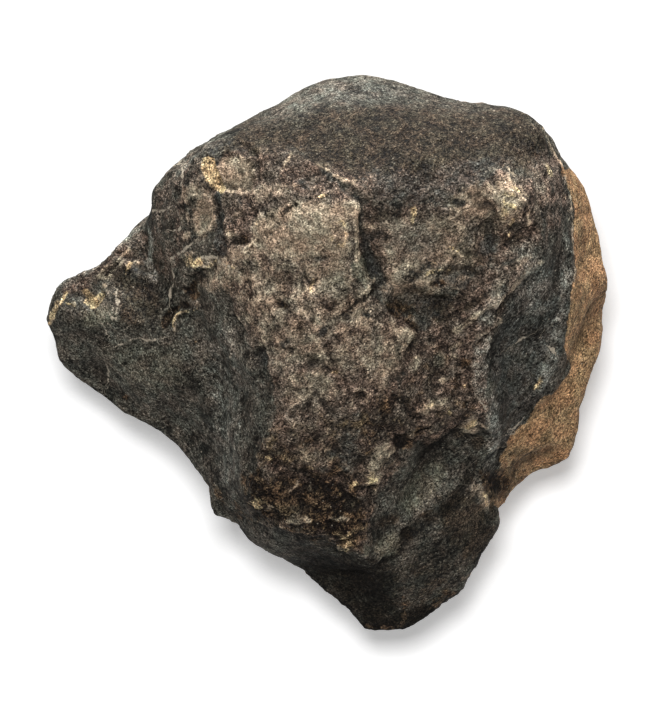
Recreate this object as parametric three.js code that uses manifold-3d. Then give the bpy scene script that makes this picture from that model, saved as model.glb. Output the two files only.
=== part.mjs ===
// A chondrite meteorite: one loose stone, lying on the flattest spot of its underside.
// Millimetres, +Z up. +X is the weathered side, -X the nose, +Y the crest and -Y the foot.
// The origin is under the middle of the stone, on the surface that it lies on.
import * as THREE from "three";
import { ConvexHull } from "three/addons/math/ConvexHull.js";
import { ImprovedNoise } from "three/addons/math/ImprovedNoise.js";
import { mergeVertices } from "three/addons/utils/BufferGeometryUtils.js";
import Module from "manifold-3d";

// Driving dimensions.
const WIDTH = 168.5; // nose to weathered side
const DEPTH = 167; // crest to foot
const HEIGHT = 109; // resting spot to brow
const HEART = new THREE.Vector3(2, 4, 50); // every corner of the stone is seen from here
const SPLIT = 5; // small triangles along each edge between two corners
const ROUNDING = 3; // smoothing passes that wear the edges round
const FITTING = 4; // rounds that bring the worn surface back to its corners

// The stone's corners, as [x, y, z], in groups that follow its edges and faces.
const CORNERS = {
  // the widest line round the stone, clockwise from the crest
  outline: [
    [10.5, 84.5, 60], [27, 80, 62], [38, 76.5, 64], [55, 74, 66], [65.5, 65, 65], [71.5, 55.5, 60],
    [77, 49.5, 50], [82, 36, 46], [84, 23, 45], [81.5, 11, 42], [81, -1, 40], [76.5, -15, 38],
    [76, -25, 36], [72.5, -33.5, 34], [62, -37.5, 34], [51.5, -47, 37], [50.5, -56, 39], [45.5, -66.5, 38],
    [40.5, -74.5, 36], [30.5, -81, 34], [24, -85.5, 33], [11.5, -86.5, 33], [3.5, -78, 35], [-3.5, -70.5, 36],
    [-11, -65, 38], [-23, -60, 41], [-34.5, -51, 44], [-35, -41.5, 45], [-38, -38, 43], [-45, -30.5, 39],
    [-61, -19.5, 34], [-72.5, -11, 34], [-80.5, -1.5, 37], [-84.5, 10, 42], [-80, 18.5, 47], [-71, 24.5, 50],
    [-63.5, 31, 53], [-54, 37.5, 55], [-51.5, 47.5, 64], [-44.5, 57.5, 68], [-33.5, 66, 68],
    [-19, 72.5, 65], [-7.5, 80, 61],
  ],
  // where the top turns over into the steep sides
  shoulder: [
    [7, 73.5, 83], [29, 71, 86], [45.5, 68, 86], [60, 65.5, 83], [66, 53.5, 80], [70, 39, 75],
    [72.5, 23.5, 70], [71, 6, 66], [66.5, -11, 58], [56.5, -22.5, 57], [50, -34.5, 55],
  ],
  weatheredSide: [[78, 27.5, 60], [76.5, 7.5, 55], [73.5, -12, 47], [66, -28, 46]],
  upperFace: [[-6.5, 69.5, 86], [-17, 66, 87], [-29, 62, 88], [5.5, 61, 98], [26, 58, 101], [44.5, 58, 97]],
  brow: [
    [-36, 59, 87], [-21.5, 56.5, 95], [-6, 55.5, 102], [9, 45, 107], [30, 45.5, 102], [50.5, 50, 99],
    [62.5, 45, 91],
  ],
  plateau: [
    [-30.5, 48, 93], [-7.5, 37.5, 105], [5.5, 26, 105], [-18.5, 27, 98], [-7.5, 5.5, 101], [11, 1.5, 99],
    [-7.5, -16, 95], [13.5, -16, 93], [-7.5, -35.5, 87], [10.5, -37, 84],
  ],
  plateauLeftEdge: [
    [-33, 34.5, 90], [-28.5, 14.5, 90], [-22, 1, 93], [-18.5, -14, 91], [-21, -29.5, 86], [-23.5, -43, 79],
  ],
  plateauLowerEdge: [[-8, -52.5, 77], [7.5, -59.5, 73]],
  leftWall: [[-35.5, 8, 72], [-29.5, -11, 70], [-30, -29, 60], [-31, -41, 54]],
  leftFlank: [
    [-48, 51, 74], [-41, 45.5, 85], [-49.5, 36.5, 68], [-40.5, 30, 80], [-49, 20.5, 62], [-40.5, 15.5, 71],
  ],
  nose: [
    [-76, 20.5, 51], [-62, 27.5, 57], [-52.5, 24.5, 56], [-75, 9.5, 53], [-62, 11, 59], [-50.5, 6, 62],
    [-68, -2, 48], [-52.5, -9, 55], [-40.5, -9, 64], [-45, -19.5, 48],
  ],
  bowl: [[20, 23, 98], [33, 32, 97], [47.5, 35, 95], [55, 43.5, 98], [36, 17.5, 94]],
  rightRidge: [[62.5, 34, 90], [57, 22.5, 90], [48.5, 14.5, 91], [46, 1, 87], [45, -16.5, 82], [50, -26, 66]],
  valley: [[30.5, 3, 91], [33.5, -10.5, 86], [23, -25, 87]],
  greyFace: [[64.5, 16, 76], [57, 3, 75], [53.5, -13, 70]],
  foot: [
    [38, -27.5, 70], [44, -39, 60], [29, -40.5, 67], [17.5, -56.5, 67], [23.5, -61, 60], [37, -55.5, 56],
    [14.5, -70.5, 54], [29.5, -70.5, 48],
  ],
  // under the outline, clockwise from below the crest
  lowerFlanks: [
    [12, 79, 38], [36, 65, 29], [62, 62, 38], [69, 36, 22], [79, 13, 25], [66, -13, 17], [56, -36, 19],
    [36, -54, 18], [16, -74, 20], [-7, -53, 17], [-29, -41, 24], [-42, -16, 18], [-65, -3, 21],
    [-69, 13, 25], [-50, 23, 27], [-46, 45, 40], [-29, 61, 44], [-8, 67, 31],
  ],
  underside: [
    [6, 56, 15], [34, 48, 12], [50, 26, 11], [47, -2, 10], [31, -26, 12], [12, -44, 13], [-13, -29, 12],
    [-31, -6, 13], [-34, 20, 15], [-16, 43, 15],
  ],
  // below the lying surface: the flat spot is cut through these
  restingSpot: [
    [7, 28, -1.5], [26, 22, -2], [29, 1, -2], [12, -12, -2], [-7, -3, -2], [-9, 17, -1.5], [11, 9, -4],
  ],
};

// Thumbprints, scoops and pits in the crust. Each is an oval on the face below it, with its width and length,
// the turn of its length from level as seen from outside, and its depth. A lump has a depth below zero.
const HOLLOWS = [
  { name: "bowl", at: [29, 33, 100], width: 22, length: 36, turn: 0, depth: 2.6 },
  { name: "bowl pit", at: [47, 34, 97], width: 8, length: 12, turn: 90, depth: 2 },
  { name: "crevice below the ledge", at: [15, 25, 103], width: 6, length: 18, turn: 125, depth: 2.4 },
  { name: "dark scoop", at: [29, 14.5, 96], width: 11, length: 30, turn: -10, depth: 2.8 },
  { name: "scoop behind the dark one", at: [40, 25, 96], width: 7, length: 14, turn: 10, depth: 1.6 },
  { name: "print on the flank", at: [-37, 40, 88], width: 8, length: 16, turn: 80, depth: 1.8 },
  { name: "flank pit", at: [-38, 19, 76], width: 7, length: 10, turn: 60, depth: 2 },
  { name: "rusty pit", at: [-47, 9, 66], width: 6, length: 13, turn: 50, depth: 1.6 },
  { name: "long foot scoop", at: [29, -40, 68], width: 16, length: 28, turn: 50, depth: 3.4 },
  { name: "round foot scoop", at: [17.5, -56, 69], width: 14, length: 19, turn: 60, depth: 2.4 },
  { name: "dark foot corner", at: [32, -30, 73], width: 10, length: 18, turn: 35, depth: 1.8 },
  { name: "valley", at: [33, -5, 89], width: 12, length: 34, turn: 65, depth: 2.2 },
  { name: "pit above the lower edge", at: [-7, -42, 86], width: 10, length: 22, turn: 5, depth: 1.8 },
  { name: "tip hollow", at: [10, -68, 54], width: 12, length: 18, turn: 30, depth: 1.6 },
  { name: "grey side print", at: [58, -6, 71], width: 20, length: 34, turn: 70, depth: 2.2 },
  { name: "thumbprint", at: [-25, 51, 95], width: 12, length: 17, turn: 25, depth: 1.6 },
  { name: "nose scar", at: [-69, 18, 55], width: 6, length: 9, turn: 20, depth: 1.2 },
  { name: "pale knob", at: [53, 43, 99], width: 13, length: 18, turn: 80, depth: -2 },
  { name: "slab middle", at: [-2, -6, 97], width: 16, length: 26, turn: 40, depth: 1.6 },
  { name: "slab swell", at: [-6, 14, 102], width: 22, length: 30, turn: 20, depth: -1.4 },
  { name: "weathered side, high", at: [76, 28, 58], width: 22, length: 36, turn: 80, depth: 1.6 },
  { name: "weathered side, low", at: [72, -8, 52], width: 18, length: 30, turn: 60, depth: 1.8 },
];

// Shallow thumbprints over the lower half. They follow each other in a spiral, from the widest line down.
const PRINTS_BELOW = { count: 40, widest: 36, narrowest: 22, depth: 3.2 };

// Steps in the crust. The surface on the right of the path drops, and climbs back within reach. Where the drop
// is below zero, it rises to a ridge instead.
const LEDGE_RAMP = 2.5; // the step's own width
const LEDGE_END = 0.15; // share of the path over which the step fades in, and out
const LEDGE_CLIMB = 0.7; // share of the reach over which the surface climbs back
const LEDGES = [
  {
    name: "slab's right edge",
    path: [
      [19.5, -8.5, 94], [23, 1.5, 95], [28.5, 6.5, 93.5], [21.5, 12.5, 97], [15.5, 16.5, 101],
      [13.5, 20.5, 103], [7.5, 28.5, 106.5], [10, 38.5, 108], [10.5, 44.5, 108.5],
    ],
    drop: 2.6,
    reach: 12,
  },
  {
    name: "slab's lower left lip",
    path: [[-27.5, 14.5, 92], [-23.5, 7, 94], [-20.5, 2, 95.5], [-14.5, 4, 99.5]],
    drop: 1.8,
    reach: 9,
  },
  {
    name: "right ridge",
    path: [[63, 26.5, 86.5], [51.5, 17, 91.5], [44.5, 10, 92.5], [36.5, 6, 92]],
    drop: -1.4,
    reach: 7,
  },
  {
    name: "step down to the nose",
    path: [[-50.5, 22, 62], [-50.5, 16, 62], [-50, 7.5, 61]],
    drop: 1.4,
    reach: 9,
  },
  {
    name: "slab's left edge",
    path: [[-28.5, 14.5, 90], [-26, 8, 91], [-24.5, 2, 92], [-19, 1, 94], [-18.5, -8, 93], [-18, -20, 90]],
    drop: 1.6,
    reach: 9,
  },
  {
    name: "ridge beside the grey face",
    path: [[52, 9, 88], [48.5, 2, 86], [47, -8, 84], [47, -17, 80], [49.5, -26, 68]],
    drop: -1.2,
    reach: 6,
  },
];

const wasm = await Module();
wasm.setup();
const noise = new ImprovedNoise();
const { smoothstep } = THREE.MathUtils;

// Height of the crust's own unevenness at a point: each layer is finer and lower than the one before.
const ROUGHNESS = [{ wave: 24, height: 1.5 }, { wave: 11, height: 0.8 }, { wave: 6, height: 0.4 }];
function roughness(point) {
  return ROUGHNESS.reduce((sum, { wave, height }) => {
    const { x, y, z } = point.clone().divideScalar(wave);
    return sum + height * noise.noise(x, y, z);
  }, 0);
}

// Joins the corners as they are seen from the heart of the stone, into triangles of corner numbers.
function facesBetween(corners) {
  const seen = corners.map((corner) => corner.clone().sub(HEART).normalize());
  const hull = new ConvexHull().setFromPoints(seen);
  return hull.faces.map((face) => {
    const edges = [face.edge, face.edge.next, face.edge.next.next];
    return edges.map((edge) => seen.indexOf(edge.head().point));
  });
}

// Splits each face between corners into SPLIT x SPLIT small flat triangles.
function splitFaces(corners, faces) {
  const points = [];
  for (const [a, b, c] of faces.map((face) => face.map((number) => corners[number]))) {
    const along = b.clone().sub(a).divideScalar(SPLIT);
    const across = c.clone().sub(a).divideScalar(SPLIT);
    const at = (i, j) => a.clone().addScaledVector(along, i).addScaledVector(across, j);
    for (let i = 0; i < SPLIT; i++) {
      for (let j = 0; j < SPLIT - i; j++) {
        points.push(at(i, j), at(i + 1, j), at(i, j + 1));
        if (i + j < SPLIT - 1) points.push(at(i + 1, j), at(i + 1, j + 1), at(i, j + 1));
      }
    }
  }
  return mergeVertices(new THREE.BufferGeometry().setFromPoints(points), 1e-3);
}

// The points that each point shares a small edge with.
function neighboursOf(mesh) {
  const neighbours = Array.from({ length: mesh.attributes.position.count }, () => new Set());
  const index = mesh.index.array;
  for (let i = 0; i < index.length; i += 3) {
    for (let k = 0; k < 3; k++) neighbours[index[i + k]].add(index[i + ((k + 1) % 3)]);
  }
  return neighbours.map((set) => [...set]);
}

const pointsOf = (mesh) =>
  Array.from({ length: mesh.attributes.position.count }, (_, i) =>
    new THREE.Vector3().fromBufferAttribute(mesh.attributes.position, i),
  );

// Moves every point halfway to the middle of its neighbours, again and again.
function worn(points, neighbours) {
  for (let pass = 0; pass < ROUNDING; pass++) {
    points = points.map((point, i) => {
      const middle = new THREE.Vector3();
      for (const n of neighbours[i]) middle.add(points[n]);
      return point.clone().lerp(middle.divideScalar(neighbours[i].length), 0.5);
    });
  }
  return points;
}

// The worn stone: its corners are pushed out first, so that wearing brings the surface back through them.
function wornStone() {
  const corners = Object.values(CORNERS).flat().map((corner) => new THREE.Vector3(...corner));
  const faces = facesBetween(corners);
  const flat = splitFaces(corners, faces);
  const neighbours = neighboursOf(flat);
  const start = pointsOf(flat);
  const numberOf = corners.map((corner) => {
    const gaps = start.map((point) => point.distanceToSquared(corner));
    return gaps.indexOf(Math.min(...gaps));
  });
  const pushed = corners.map((corner) => corner.clone());
  let surface = worn(start, neighbours);
  for (let round = 0; round < FITTING; round++) {
    corners.forEach((corner, i) => pushed[i].add(corner).sub(surface[numberOf[i]]));
    surface = worn(pointsOf(splitFaces(pushed, faces)), neighbours);
  }
  const stone = flat.clone();
  surface.forEach((point, i) => stone.attributes.position.setXYZ(i, ...point));
  return stone;
}

// How far a point is from a path, whether it is on its right, and how far along it, from 0 to 1.
function besidePath(point, normal, path) {
  let best = { distance: Infinity };
  for (let i = 0; i + 1 < path.length; i++) {
    const along = path[i + 1].clone().sub(path[i]);
    const offset = point.clone().sub(path[i]);
    const share = THREE.MathUtils.clamp(offset.dot(along) / along.lengthSq(), 0, 1);
    const gap = offset.addScaledVector(along, -share);
    if (gap.length() < best.distance) {
      const onRight = gap.clone().cross(along).dot(normal) > 0;
      best = { distance: gap.length(), onRight, along: (i + share) / (path.length - 1) };
    }
  }
  return best;
}

// The thumbprints of the lower half, each where the surface lies furthest out in its own direction.
function printsBelow(points) {
  const { count, widest, narrowest, depth } = PRINTS_BELOW;
  const goldenAngle = Math.PI * (3 - Math.sqrt(5));
  return Array.from({ length: count }, (_, number) => {
    const down = (number + 0.5) / count;
    const level = Math.sqrt(1 - down ** 2);
    const round = number * goldenAngle;
    const outward = new THREE.Vector3(level * Math.cos(round), level * Math.sin(round), -down);
    const reaches = points.map((point) => point.clone().sub(HEART).normalize().dot(outward));
    const at = points[reaches.indexOf(Math.max(...reaches))];
    const length = THREE.MathUtils.lerp(widest, narrowest, Math.abs(Math.sin(3 * number)));
    return { at, width: narrowest, length, turn: THREE.MathUtils.radToDeg(round / 2), depth };
  });
}

// How deep each point lies in a hollow: its middle is the deepest, and its rim is level with the face.
function hollowDepths(points, normals, { at, width, length, turn, depth }) {
  const place = new THREE.Vector3(...at);
  const gaps = points.map((point) => point.distanceToSquared(place));
  const outward = normals[gaps.indexOf(Math.min(...gaps))];
  const lengthways = new THREE.Vector3(1, 0, 0);
  if (Math.abs(outward.z) < 0.5) lengthways.set(0, 0, 1).cross(outward);
  lengthways.addScaledVector(outward, -lengthways.dot(outward)).normalize();
  lengthways.applyAxisAngle(outward, THREE.MathUtils.degToRad(turn));
  const widthways = outward.clone().cross(lengthways);
  return points.map((point) => {
    const offset = point.clone().sub(place);
    const sideways = Math.hypot(offset.dot(lengthways) / length, offset.dot(widthways) / width) * 2;
    const reach = Math.hypot(sideways, offset.dot(outward) / length);
    return reach < 1 ? depth * (1 - reach ** 2) ** 2 : 0;
  });
}

// How deep each point lies below a ledge.
function ledgeDepths(points, normals, { path, drop, reach }) {
  const corners = path.map((corner) => new THREE.Vector3(...corner));
  return points.map((point, i) => {
    const { distance, onRight, along } = besidePath(point, normals[i], corners);
    if (!onRight) return 0;
    const ends = smoothstep(along, 0, LEDGE_END) * smoothstep(1 - along, 0, LEDGE_END);
    const foot = smoothstep(distance, 0, LEDGE_RAMP) * smoothstep(1 - distance / reach, 0, LEDGE_CLIMB);
    return drop * ends * foot;
  });
}

// Carves the hollows and the ledges, and roughens what is left.
function carved(stone) {
  stone.computeVertexNormals();
  const points = pointsOf(stone);
  const normals = points.map((_, i) => new THREE.Vector3().fromBufferAttribute(stone.attributes.normal, i));
  const cuts = [
    ...[...HOLLOWS, ...printsBelow(points)].map((hollow) => hollowDepths(points, normals, hollow)),
    ...LEDGES.map((ledge) => ledgeDepths(points, normals, ledge)),
  ];
  points.forEach((point, i) => {
    const depth = cuts.reduce((sum, depths) => sum + depths[i], 0);
    const carvedTo = point.clone().addScaledVector(normals[i], roughness(point) - depth);
    stone.attributes.position.setXYZ(i, ...carvedTo);
  });
  return stone;
}

// Brings the carved stone to its real size and stands its origin under its middle.
function sized(stone) {
  stone.computeBoundingBox();
  const { min, max } = stone.boundingBox;
  const size = max.clone().sub(min);
  const middle = min.clone().add(max).multiplyScalar(0.5);
  stone.translate(-middle.x, -middle.y, 0);
  return stone.scale(WIDTH / size.x, DEPTH / size.y, HEIGHT / max.z);
}

function solidOf(mesh) {
  const vertProperties = mesh.attributes.position.array;
  return new wasm.Manifold(new wasm.Mesh({ numProp: 3, vertProperties, triVerts: mesh.index.array }));
}

// Cuts everything below the lying surface away, which leaves the flat resting spot.
function restedOnSpot(stone) {
  const slab = new THREE.BoxGeometry(2 * WIDTH, 2 * DEPTH, HEIGHT).translate(0, 0, -HEIGHT / 2);
  slab.deleteAttribute("normal");
  slab.deleteAttribute("uv");
  const cut = solidOf(stone).subtract(solidOf(mergeVertices(slab))).getMesh();
  const mesh = new THREE.BufferGeometry();
  mesh.setAttribute("position", new THREE.BufferAttribute(cut.vertProperties, 3));
  mesh.setIndex(new THREE.BufferAttribute(cut.triVerts, 1));
  return mesh;
}

const shape = restedOnSpot(sized(carved(wornStone())));
shape.computeVertexNormals();
const crust = new THREE.MeshStandardMaterial({ color: 0x4a423b, roughness: 0.62, metalness: 0 });
const stone = new THREE.Mesh(shape, crust);
stone.name = "meteorite";

const part = new THREE.Group();
part.add(stone);
export default part;
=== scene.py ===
"""A chondrite meteorite lying on a pale floor.

The stone keeps the form of its solid. Its surface is divided finely and carved with the marks of its crust:
patches, lines, spots and steps, and noise. The marks also lay coats of colour on it: brown crust, charred
crust and burnt places that carry painted shade too, bleached places with some painted light, cream scars,
rust, grey, blue-grey and olive skin, painted sheen on the grey skin, the blackest painted shade, and tan
weathering.
"""
from typing import NamedTuple

import bmesh
import bpy
import numpy as np
from bpy.props import FloatProperty, FloatVectorProperty, IntProperty, PointerProperty
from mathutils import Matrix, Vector, noise
from mathutils.bvhtree import BVHTree


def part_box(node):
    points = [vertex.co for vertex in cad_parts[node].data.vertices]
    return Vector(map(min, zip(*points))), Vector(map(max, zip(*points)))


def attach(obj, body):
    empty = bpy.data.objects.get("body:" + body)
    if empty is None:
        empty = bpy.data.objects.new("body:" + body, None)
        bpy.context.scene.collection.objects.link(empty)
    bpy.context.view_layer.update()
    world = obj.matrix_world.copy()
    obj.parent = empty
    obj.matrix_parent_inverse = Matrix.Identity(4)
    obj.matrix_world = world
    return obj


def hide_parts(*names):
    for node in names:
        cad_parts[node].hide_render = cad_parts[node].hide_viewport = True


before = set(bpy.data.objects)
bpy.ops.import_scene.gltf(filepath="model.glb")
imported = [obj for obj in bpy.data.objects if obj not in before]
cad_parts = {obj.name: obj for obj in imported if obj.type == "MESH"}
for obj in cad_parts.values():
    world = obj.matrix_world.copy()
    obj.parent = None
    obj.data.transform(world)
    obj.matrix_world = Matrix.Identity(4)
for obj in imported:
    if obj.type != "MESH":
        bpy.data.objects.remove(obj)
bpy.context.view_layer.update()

bl_info = {
    "name": "Chondrite meteorite",
    "version": (1, 0, 0),
    "blender": (4, 5, 0),
    "location": "View3D > Sidebar > Meteorite",
    "description": "Carves and colours a chondrite meteorite and lays it on a pale floor",
    "category": "Object",
}

NODE = "meteorite"
MM = 0.001


# ---- The marks on the crust --------------------------------------------------------------------------------
# Points are x and y in millimetres, as the stone is seen from above. Patches, lines and spots lay a coat on
# the upper side with a strength from 0 to 1, and sink the surface by some millimetres. A lump or a ridge
# sinks by less than zero. Steps only carve, and veins only colour.


class Patch(NamedTuple):
    """A place with an outline. Its edge is the width over which it fades in."""

    name: str
    coat: str
    strength: float
    sink: float
    edge: float
    outline: list


class Line(NamedTuple):
    """A streak, groove or ridge along a path."""

    name: str
    coat: str
    strength: float
    sink: float
    width: float
    path: list


class Spot(NamedTuple):
    """An oval place. Its half sizes are along and across its angle, in degrees from +X."""

    coat: str
    strength: float
    sink: float
    middle: tuple
    half_sizes: tuple
    angle: float


class Step(NamedTuple):
    """An edge from which the surface drops on the right of its path, and rises back over its reach."""

    name: str
    drop: float
    reach: float
    path: list


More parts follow.
